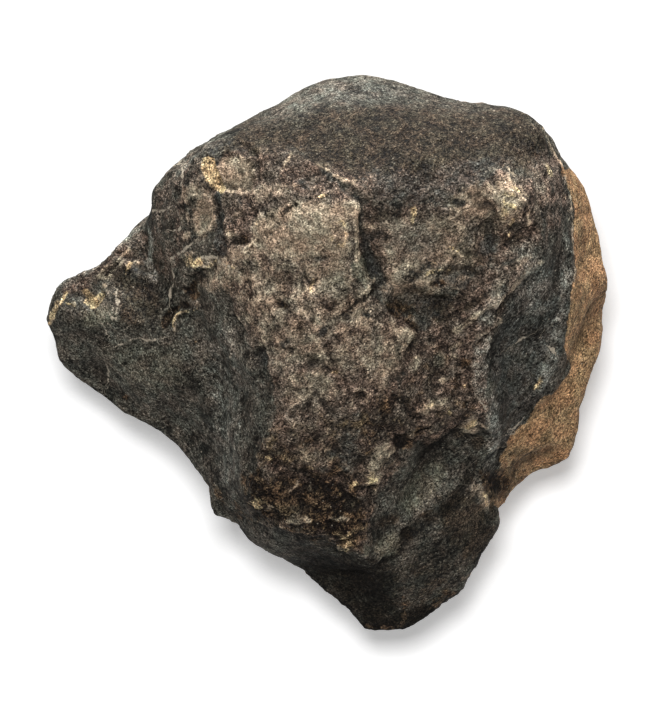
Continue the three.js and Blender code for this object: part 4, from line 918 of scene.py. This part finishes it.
class Carver:
    """The stone's points in millimetres, with the coats and the depth that build up on them."""

    def __init__(self, mesh, relief):
        count = len(mesh.vertices)
        places = np.empty(count * 3, np.float32)
        mesh.vertices.foreach_get("co", places)
        self.points = places.reshape(-1, 3).astype(float) / MM
        normals = np.empty(count * 3, np.float32)
        mesh.vertex_normals.foreach_get("vector", normals)
        self.normals = normals.reshape(-1, 3).astype(float)
        edges = np.empty(len(mesh.edges) * 2, np.int32)
        mesh.edges.foreach_get("vertices", edges)
        self.edges = edges.reshape(-1, 2)
        self.relief = relief
        self.upper = smooth_step(self.normals[:, 2], *UPPER_FADE)
        self.depth = np.zeros(count)
        self.coats = {coat: np.zeros(count) for coat in COATS}
        self.vein_offset = np.full(count, NO_VEIN)
        stray = [layered_noise(self.points, STRAY_WAVE, 3, seed) for seed in (11, 23, 37)]
        self.strayed = self.points + np.stack(stray, axis=1) * relief.wander / MM
        self.surface = BVHTree.FromPolygons(
            [Vector(point) for point in self.points], [tuple(face.vertices) for face in mesh.polygons]
        )

    def on_top(self, path):
        """A path's points, laid on the upper side, or on the nearest side where they miss the stone."""
        top = self.points[:, 2].max()
        laid = []
        for x, y in path:
            place = self.surface.ray_cast(Vector((x, y, 2 * top)), Vector((0, 0, -1)))[0]
            if place is None:
                place = self.surface.find_nearest(Vector((x, y, top / 2)))[0]
            laid.append(np.array(place))
        return laid

    def lay(self, coat, cover):
        """Adds to a coat wherever the cover is more than it has."""
        self.coats[coat] = np.maximum(self.coats[coat], cover)

    def lay_patch(self, patch):
        inside = inside_outline(self.strayed[:, :2], patch.outline)
        cover = self.upper * smooth_step(inside, -patch.edge / 2, patch.edge / 2)
        self.lay(patch.coat, patch.strength * cover)
        self.depth += patch.sink * cover

    def lay_line(self, line):
        distance, _ = near_path(self.strayed, self.on_top(line.path))
        cover = (1 - np.clip(2 * distance / line.width, 0, 1) ** 2) ** 2
        self.lay(line.coat, line.strength * np.minimum(1, 1.5 * cover))
        self.depth += line.sink * cover

    def lay_spot(self, spot):
        turn = np.radians(spot.angle)
        x, y = (0.5 * (self.points + self.strayed)[:, :2] - spot.middle).T
        along = (x * np.cos(turn) + y * np.sin(turn)) / spot.half_sizes[0]
        across = (y * np.cos(turn) - x * np.sin(turn)) / spot.half_sizes[1]
        cover = self.upper * (1 - smooth_step(np.hypot(along, across), *SPOT_FADE))
        self.lay(spot.coat, spot.strength * cover)
        self.depth += spot.sink * cover

    def lay_step(self, step):
        distance, side = near_path(self.strayed, self.on_top(step.path))
        below = smooth_step(-distance * side, *STEP_FALL)
        self.depth += step.drop * below * (1 - smooth_step(distance, 0.3 * step.reach, step.reach))

    def lay_vein(self, path):
        """Keeps each point's distance from its nearest vein, below zero on the vein's right."""
        distance, side = near_path(self.points, self.on_top(path))
        nearer = distance < np.abs(self.vein_offset)
        self.vein_offset[nearer] = (distance * side)[nearer]

    def lay_hidden_side(self):
        """Coats of the lower half, which no mark reaches: tan on the +X side, and blotches elsewhere."""
        lower = 1 - self.upper
        x, y, z = self.points.T
        blotches = layered_noise(self.points, BLOTCH_WAVE, layers=3, seed=51)
        lime = layered_noise(self.points, LIME_WAVE, layers=4, seed=67)
        towards_tan_side = 0.95 * x - 0.3 * y + 0.25 * z + 9 * blotches
        self.lay("tan", lower * smooth_step(towards_tan_side, *TAN_FADE))
        self.lay("brown", lower * smooth_step(blotches, 0.05, 0.25))
        self.lay("cream", lower * 0.5 * smooth_step(lime, 0.5, 0.8))
        self.lay("rust", lower * 0.7 * smooth_step(-lime, 0.42, 0.65))

    def roughen(self):
        """Swells, scales, folds, crumbs and pits, higher on the brown crust than on the smooth skin."""
        relief = self.relief
        rough = self.coats["brown"] * (1 - 0.8 * self.coats["olive"]) * (1 - 0.5 * self.coats["pale"])
        folded = rough * (0.3 + 0.7 * self.coats["folded"])
        crumbly = rough * (1 + self.coats["folded"])
        swells = layered_noise(self.points, SWELL_WAVE, layers=2, seed=3)
        scales = creased_noise(self.strayed, SCALE_WAVE, layers=4, seed=5)
        folds = ridge_noise(self.strayed, FOLD_WAVE, layers=3, seed=9)
        crumbs = layered_noise(self.strayed, CRUMB_WAVE, layers=3, seed=7)
        pits = pit_noise(self.strayed, PIT_SPACING, seed=13)
        self.depth -= swells * relief.swells / MM
        self.depth -= scales * (relief.skin_scales + folded * (relief.scales - relief.skin_scales)) / 2 / MM
        self.depth -= folds * folded * relief.folds / 2 / MM
        self.depth -= crumbs * (relief.skin_crumbs + crumbly * (relief.crumbs - relief.skin_crumbs)) / MM
        self.depth += pits * rough * relief.pits / MM

    def carved_points(self):
        """The points moved in by their depth, within the solid's own box."""
        low, high = (np.array(corner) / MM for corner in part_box(NODE))
        return np.clip(self.points - self.normals * self.depth[:, None], low, high)

    def hollowness(self, points, passes):
        """How far each point lies below its surroundings, in millimetres, and below zero above them."""
        one, other = self.edges.T
        count = len(points)
        links = np.bincount(one, minlength=count) + np.bincount(other, minlength=count)
        level = points.copy()
        for _ in range(passes):
            for axis in range(3):
                total = np.bincount(one, level[other, axis], count)
                total += np.bincount(other, level[one, axis], count)
                level[:, axis] = total / links
        return np.sum((level - points) * self.normals, axis=1)


def divided_copy(divisions):
    """The solid's surface as a new mesh, divided finely and rounded."""
    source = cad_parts[NODE]
    work = bmesh.new()
    work.from_mesh(source.data)
    bmesh.ops.remove_doubles(work, verts=work.verts, dist=SAME_PLACE * MM)
    mesh = bpy.data.meshes.new("stone")
    work.to_mesh(mesh)
    work.free()
    stone = bpy.data.objects.new("stone", mesh)
    bpy.context.scene.collection.objects.link(stone)
    rounding = stone.modifiers.new("divide", "SUBSURF")
    rounding.levels = rounding.render_levels = divisions
    evaluated = stone.evaluated_get(bpy.context.evaluated_depsgraph_get())
    stone.data = bpy.data.meshes.new_from_object(evaluated)
    stone.modifiers.clear()
    bpy.data.meshes.remove(mesh)
    return stone


def carve_stone(relief):
    """The carved stone, with its coats, veins and hollows as values on its mesh."""
    stone = divided_copy(relief.divisions)
    mesh = stone.data
    carver = Carver(mesh, relief)
    for lay, marks in (
        (carver.lay_patch, PATCHES),
        (carver.lay_line, LINES),
        (carver.lay_spot, SPOTS),
        (carver.lay_step, STEPS),
        (carver.lay_vein, VEINS.values()),
    ):
        for mark in marks:
            lay(mark)
    carver.lay_hidden_side()
    carver.roughen()
    points = carver.carved_points()
    mesh.vertices.foreach_set("co", (points * MM).astype(np.float32).ravel())
    values = {**carver.coats, "vein offset": carver.vein_offset}
    values["narrow hollow"] = carver.hollowness(points, NARROW_PASSES)
    values["wide hollow"] = carver.hollowness(points, WIDE_PASSES)
    for name, value in values.items():
        mesh.attributes.new(name, "FLOAT", "POINT").data.foreach_set("value", value.astype(np.float32))
    mesh.shade_smooth()
    mesh.update()
    return stone


# ---- Shading -----------------------------------------------------------------------------------------------


class Board:
    """Places shader nodes on a tree, with their inputs filled in."""

    def __init__(self, tree):
        self.tree = tree

    def node(self, kind, inputs, **settings):
        node = self.tree.nodes.new("ShaderNode" + kind)
        for name, value in settings.items():
            setattr(node, name, value)
        for key, value in inputs.items():
            if isinstance(value, bpy.types.NodeSocket):
                self.tree.links.new(value, node.inputs[key])
            else:
                node.inputs[key].default_value = value
        return node

    def math(self, operation, *values):
        return self.node("Math", dict(enumerate(values)), operation=operation).outputs[0]

    def scaled(self, value, factor, plus=0.0):
        return self.math("MULTIPLY_ADD", value, factor, plus)

    def highest(self, one, other):
        return self.math("MAXIMUM", one, other)

    def spread(self, value, low, high, kind="LINEAR"):
        """0 at low, 1 at high, and a share between them."""
        inputs = dict(enumerate((value, low, high)))
        return self.node("MapRange", inputs, interpolation_type=kind).outputs[0]

    def smooth_spread(self, value, low, high):
        return self.spread(value, low, high, "SMOOTHSTEP")

    def mixed(self, share, low, high, blend="MIX"):
        mix = self.node("Mix", {0: share, 6: low, 7: high}, data_type="RGBA", blend_type=blend)
        return mix.outputs[2]

    def multiplied(self, one, other):
        return self.mixed(1.0, one, other, "MULTIPLY")

    def noise(self, place, wave, detail, roughness, distortion=0.0):
        """Noise from 0 to 1, with a wavelength in millimetres."""
        inputs = {"Vector": place, "Scale": 1 / (wave * MM), "Detail": detail, "Roughness": roughness}
        return self.node("TexNoise", {**inputs, "Distortion": distortion}).outputs[0]

    def cells(self, place, wave):
        """Distance from the middle of grains of that size, and each grain's own random value."""
        node = self.node("TexVoronoi", {"Vector": place, "Scale": 1 / (wave * MM)})
        own = self.node("SeparateColor", {0: node.outputs["Color"]})
        return node.outputs["Distance"], own.outputs[0]

    def attribute(self, name):
        return self.node("Attribute", {}, attribute_name=name).outputs["Fac"]


def new_group(name, inputs, outputs):
    """An empty shader node group with float sockets, and its board, input sockets and output node."""
    tree = bpy.data.node_groups.new(name, "ShaderNodeTree")
    for in_out, sockets in (("INPUT", inputs), ("OUTPUT", outputs)):
        for socket in sockets:
            tree.interface.new_socket(socket, in_out=in_out, socket_type="NodeSocketFloat")
    source = tree.nodes.new("NodeGroupInput").outputs
    return tree, Board(tree), source, tree.nodes.new("NodeGroupOutput").inputs


def coat_edge_group():
    """Turns a coat's soft cover into a mask with a ragged, fairly crisp edge."""
    sockets = ["Cover", "Raggedness", "Softness", "Noise"]
    tree, board, source, result = new_group("Coat edge", sockets, ["Mask"])
    # where a coat has no cover, the noise gives it none
    within = board.math("MINIMUM", 1.0, board.scaled(source["Cover"], 2.5))
    ragged = board.math("MULTIPLY", board.scaled(source["Noise"], 2.0, -1.0), within)
    reached = board.scaled(ragged, source["Raggedness"], source["Cover"])
    low = board.math("SUBTRACT", 0.5, source["Softness"])
    high = board.math("ADD", 0.5, source["Softness"])
    tree.links.new(board.smooth_spread(reached, low, high), result["Mask"])
    return tree


def coat_tone_group():
    """Weighs blotches, mottle, crumbs and grains together into one tone from 0, dark, to 1, light."""
    layers = ["Blotches", "Mottle", "Crumbs", "Grains"]
    shares = [f"{layer} share" for layer in layers]
    sockets = [*layers, *shares, "Contrast", "Level"]
    tree, board, source, result = new_group("Coat tone", sockets, ["Tone"])
    total = 0.0
    for layer, share in zip(layers, shares):
        around = board.math("SUBTRACT", source[layer], 0.5)
        total = board.scaled(around, source[share], total)
    tone = board.scaled(total, source["Contrast"], source["Level"])
    tree.links.new(board.highest(0.0, board.math("MINIMUM", 1.0, tone)), result["Tone"])
    return tree


class Grain:
    """The noises from 0 to 1 that the coats, the flecks and the bump share."""

    def __init__(self, board, place):
        # the finest grain lies in short strokes
        strokes = {"Vector": place, "Rotation": (0, 0, -0.8), "Scale": (1, 1.5, 1)}
        strokes = board.node("Mapping", strokes, vector_type="TEXTURE").outputs[0]
        self.place = place
        blotches = board.noise(place, BLOTCH_SIZE, detail=3, roughness=0.6, distortion=0.6)
        self.blotches = board.spread(blotches, 0.3, 0.7)
        mottle = board.noise(place, MOTTLE_SIZE, detail=5, roughness=0.72, distortion=0.3)
        self.mottle = board.spread(mottle, 0.3, 0.7)
        crumbs = board.noise(strokes, CRUMB_SIZE, detail=2, roughness=0.7)
        self.crumbs = board.spread(crumbs, 0.34, 0.66)
        fine = board.noise(strokes, FINE_SIZE, detail=1, roughness=0.6)
        self.fine = board.spread(fine, 0.4, 0.6)
        self.gap, self.own = board.cells(place, GRAIN_SIZE)
        # few specks are bright, and most are faint; the bright ones are grains and partly painted glints
        self.specks = board.math("POWER", board.cells(place, SPECK_SIZE)[1], 4.0)

    def layers(self):
        return {"Blotches": self.blotches, "Mottle": self.mottle, "Crumbs": self.crumbs, "Grains": self.own}


def coated_colour(board, grain, colours):
    """The colour of the skin and of the coats that lie over one another, and the coats' masks."""
    edge_group, tone_group = coat_edge_group(), coat_tone_group()
    layers = grain.layers()

    def coat_colour(look):
        weights = {f"{layer} share": share for layer, share in zip(layers, look.shares)}
        inputs = {**layers, **weights, "Contrast": look.contrast, "Level": look.level}
        tone = board.node("Group", inputs, node_tree=tone_group).outputs["Tone"]
        dark, light = (getattr(colours, f"{look.name}_{end}") for end in ("dark", "light"))
        return board.mixed(tone, (*dark, 1), (*light, 1))

    result = coat_colour(SKIN)
    masks = {}
    for look in COAT_LOOKS:
        edge = {"Cover": board.attribute(look.name), "Raggedness": look.ragged, "Softness": look.soft}
        mask = board.node("Group", {**edge, "Noise": grain.mottle}, node_tree=edge_group).outputs["Mask"]
        result = board.mixed(mask, result, coat_colour(look))
        masks[look.name] = mask
    return result, masks


def tinted_with_hollow_shade(board, grain, base):
    """A colour whose hue strays a little, from pinkish to greenish, with painted shade in the hollows."""
    hue = board.spread(board.noise(grain.place, HUE_SIZE, detail=2, roughness=0.6), 0.36, 0.64)
    tint = board.mixed(hue, (1.12, 0.99, 0.9, 1), (0.95, 1.0, 0.94, 1))
    # painted shade: darker in the narrow and the wide hollows
    narrow = board.smooth_spread(board.attribute("narrow hollow"), 0.02, 0.4)
    wide = board.smooth_spread(board.attribute("wide hollow"), 0.1, 1.2)
    painted_hollow_shade = board.highest(board.scaled(narrow, 0.7), board.scaled(wide, 0.5))
    return board.mixed(painted_hollow_shade, board.multiplied(base, tint), (0.012, 0.009, 0.007, 1))


def grain_shade(board, grain, masks):
    """A near-grey to multiply a colour with: fine grain with bright, bluish specks, partly painted glints,
    and paler raised edges, partly wear and partly painted highlight.

    Pale and tan places have fainter specks.
    """
    calm = board.highest(masks["pale"], board.scaled(masks["tan"], 0.7))
    specks = board.math("MULTIPLY", grain.specks, board.scaled(calm, -1.3, 2.5))
    shade = board.scaled(calm, 0.26, board.scaled(grain.fine, 0.9, -0.03))
    shade = board.math("ADD", specks, board.scaled(grain.crumbs, 0.3, shade))
    # paler raised edges: partly wear, partly painted highlight
    raised = board.smooth_spread(board.attribute("narrow hollow"), -0.03, -0.3)
    shade = board.math("MULTIPLY", board.highest(0.1, shade), board.scaled(raised, 0.6, 1.0))
    red, blue = board.scaled(specks, -0.05, shade), board.scaled(specks, 0.08, shade)
    return board.node("CombineColor", {0: red, 1: shade, 2: blue}).outputs[0]


def pale_mineral(board, grain, masks):
    """How much of the veins and of the scattered flecks shows, from 0 to 1."""
    vein_gap = board.math("ABSOLUTE", board.attribute("vein offset"))
    waver = board.scaled(grain.crumbs, 0.8, board.scaled(grain.mottle, 1.2, -0.9))
    vein = board.smooth_spread(board.math("ADD", vein_gap, waver), 0.55, 0.15)
    fleck_gap, fleck_own = board.cells(grain.place, FLECK_SPACING)
    chosen = board.smooth_spread(fleck_own, 0.55, 0.6)
    fleck = board.math("MULTIPLY", board.smooth_spread(fleck_gap, 0.14, 0.06), chosen)
    # the flecks fade in the painted shade
    fleck = board.math("MULTIPLY", fleck, board.scaled(masks["soot"], -0.6, 0.6))
    return board.highest(board.scaled(vein, 0.8), fleck)


def stone_material(colours, relief):
    material = bpy.data.materials.new("Meteorite crust")
    material.use_nodes = True
    tree = material.node_tree
    tree.nodes.clear()
    board = Board(tree)
    grain = Grain(board, tree.nodes.new("ShaderNodeTexCoord").outputs["Object"])

    base, masks = coated_colour(board, grain, colours)
    base = tinted_with_hollow_shade(board, grain, base)
    base = board.multiplied(base, grain_shade(board, grain, masks))
    base = board.mixed(pale_mineral(board, grain, masks), base, (*colours.vein, 1))

    # the brown crust, the burnt places and the painted shade are dull, and the skin is faintly shiny
    dull = board.highest(board.highest(masks["brown"], board.scaled(masks["tan"], 0.3)), masks["dark"])
    roughness = board.scaled(masks["soot"], 0.25, board.scaled(dull, 0.22, 0.4))
    roughness = board.scaled(grain.mottle, 0.12, roughness)

    height = board.scaled(grain.fine, 0.5, board.scaled(grain.gap, -0.35, grain.crumbs))
    height = board.math("MULTIPLY", height, board.scaled(dull, 0.55, 0.45))
    bump = board.node("Bump", {"Height": height, "Distance": relief.grain, "Strength": 1.0}).outputs[0]

    look = {"Base Color": base, "Roughness": roughness, "Specular IOR Level": 0.2, "Normal": bump}
    surface = board.node("BsdfPrincipled", look)
    output = tree.nodes.new("ShaderNodeOutputMaterial")
    tree.links.new(surface.outputs[0], output.inputs["Surface"])
    return material


# ---- Stage -------------------------------------------------------------------------------------------------


class Lamp(NamedTuple):
    """A square light that points at the middle of the floor. Its width and place are in metres."""

    name: str
    width: float
    place: tuple


KEY_LAMP = Lamp("Soft light above", 0.5, (-0.1, 0.45, 2.4))
WINDOW_LAMP = Lamp("Window light", 0.6, (0.1, 2.0, 0.35))

# The camera looks straight down on this point of the stone, in millimetres.
CAMERA_PLACE = (1.8, 1.05)


def lay_floor(collection, settings):
    half = settings.floor_width / 2
    corners = [(-half, -half, 0), (half, -half, 0), (half, half, 0), (-half, half, 0)]
    mesh = bpy.data.meshes.new("floor")
    mesh.from_pydata(corners, [], [(0, 1, 2, 3)])
    floor = bpy.data.objects.new("floor", mesh)
    material = bpy.data.materials.new("Pale floor")
    material.use_nodes = True
    surface = material.node_tree.nodes["Principled BSDF"].inputs
    surface["Base Color"].default_value = (*settings.floor_colour, 1)
    surface["Roughness"].default_value = 0.9
    surface["Emission Color"].default_value = (*settings.floor_colour, 1)
    surface["Emission Strength"].default_value = settings.floor_glow
    mesh.materials.append(material)
    collection.objects.link(floor)
    # reflections of the bright floor would light the stone's lower edges
    floor.visible_glossy = False
    return floor


def hang_lamp(collection, lamp, power):
    light = bpy.data.lights.new(lamp.name, "AREA")
    light.size = lamp.width
    light.energy = power
    hung = bpy.data.objects.new(lamp.name, light)
    hung.location = lamp.place
    hung.rotation_euler = (-hung.location).to_track_quat("-Z", "Y").to_euler()
    collection.objects.link(hung)
    return hung


# ---- Operators ---------------------------------------------------------------------------------------------


class METEORITE_OT_lay_stage(bpy.types.Operator):
    """Lays the floor and sets up the soft light and the camera above it"""

    bl_idname = "meteorite.lay_stage"
    bl_label = "Lay the stage"

    def execute(self, context):
        scene = context.scene
        settings = scene.meteorite_stage
        floor = lay_floor(scene.collection, settings)

        world = bpy.data.worlds.new("White room")
        world.use_nodes = True
        sky = world.node_tree.nodes["Background"].inputs
        sky["Color"].default_value = (1, 1, 1, 1)
        sky["Strength"].default_value = settings.sky
        scene.world = world

        hang_lamp(scene.collection, KEY_LAMP, settings.key_power)
        window = hang_lamp(scene.collection, WINDOW_LAMP, settings.window_power)
        # the window light leaves the floor out, so that it casts no second shadow there
        shielded = bpy.data.collections.new("Shielded from the window light")
        shielded.objects.link(floor)
        shielded.collection_objects[0].light_linking.link_state = "EXCLUDE"
        window.light_linking.receiver_collection = shielded

        camera = bpy.data.cameras.new("Camera")
        camera.lens = settings.lens
        camera.clip_end = 20
        eye = bpy.data.objects.new("Camera", camera)
        eye.location = (CAMERA_PLACE[0] * MM, CAMERA_PLACE[1] * MM, settings.camera_height)
        scene.collection.objects.link(eye)
        scene.camera = eye
        scene.view_settings.view_transform = "Standard"
        return {"FINISHED"}


class METEORITE_OT_dress_stone(bpy.types.Operator):
    """Carves the stone's crust and lays its coats of colour"""

    bl_idname = "meteorite.dress_stone"
    bl_label = "Dress the stone"

    def execute(self, context):
        relief = context.scene.meteorite_relief
        stone = carve_stone(relief)
        stone.data.materials.clear()
        stone.data.materials.append(stone_material(context.scene.meteorite_colours, relief))
        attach(stone, "root")
        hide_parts(NODE)
        return {"FINISHED"}


class METEORITE_PT_sidebar(bpy.types.Panel):
    """Lists the steps and their settings"""

    bl_label = "Meteorite"
    bl_space_type = "VIEW_3D"
    bl_region_type = "UI"
    bl_category = "Meteorite"

    def draw(self, context):
        scene = context.scene
        for settings, operator in (
            (scene.meteorite_stage, METEORITE_OT_lay_stage),
            (scene.meteorite_relief, METEORITE_OT_dress_stone),
            (scene.meteorite_colours, None),
        ):
            box = self.layout.box()
            for name in settings.bl_rna.properties.keys():
                if name not in ("name", "rna_type"):
                    box.prop(settings, name)
            if operator:
                box.operator(operator.bl_idname)


CLASSES = [
    MeteoriteRelief,
    MeteoriteColours,
    MeteoriteStage,
    METEORITE_OT_lay_stage,
    METEORITE_OT_dress_stone,
    METEORITE_PT_sidebar,
]


def register():
    for each in CLASSES:
        bpy.utils.register_class(each)
    bpy.types.Scene.meteorite_relief = PointerProperty(type=MeteoriteRelief)
    bpy.types.Scene.meteorite_colours = PointerProperty(type=MeteoriteColours)
    bpy.types.Scene.meteorite_stage = PointerProperty(type=MeteoriteStage)


def unregister():
    del bpy.types.Scene.meteorite_relief
    del bpy.types.Scene.meteorite_colours
    del bpy.types.Scene.meteorite_stage
    for each in reversed(CLASSES):
        bpy.utils.unregister_class(each)


def main():
    register()
    bpy.ops.meteorite.lay_stage()
    bpy.ops.meteorite.dress_stone()


if __name__ == "__main__":
    main()
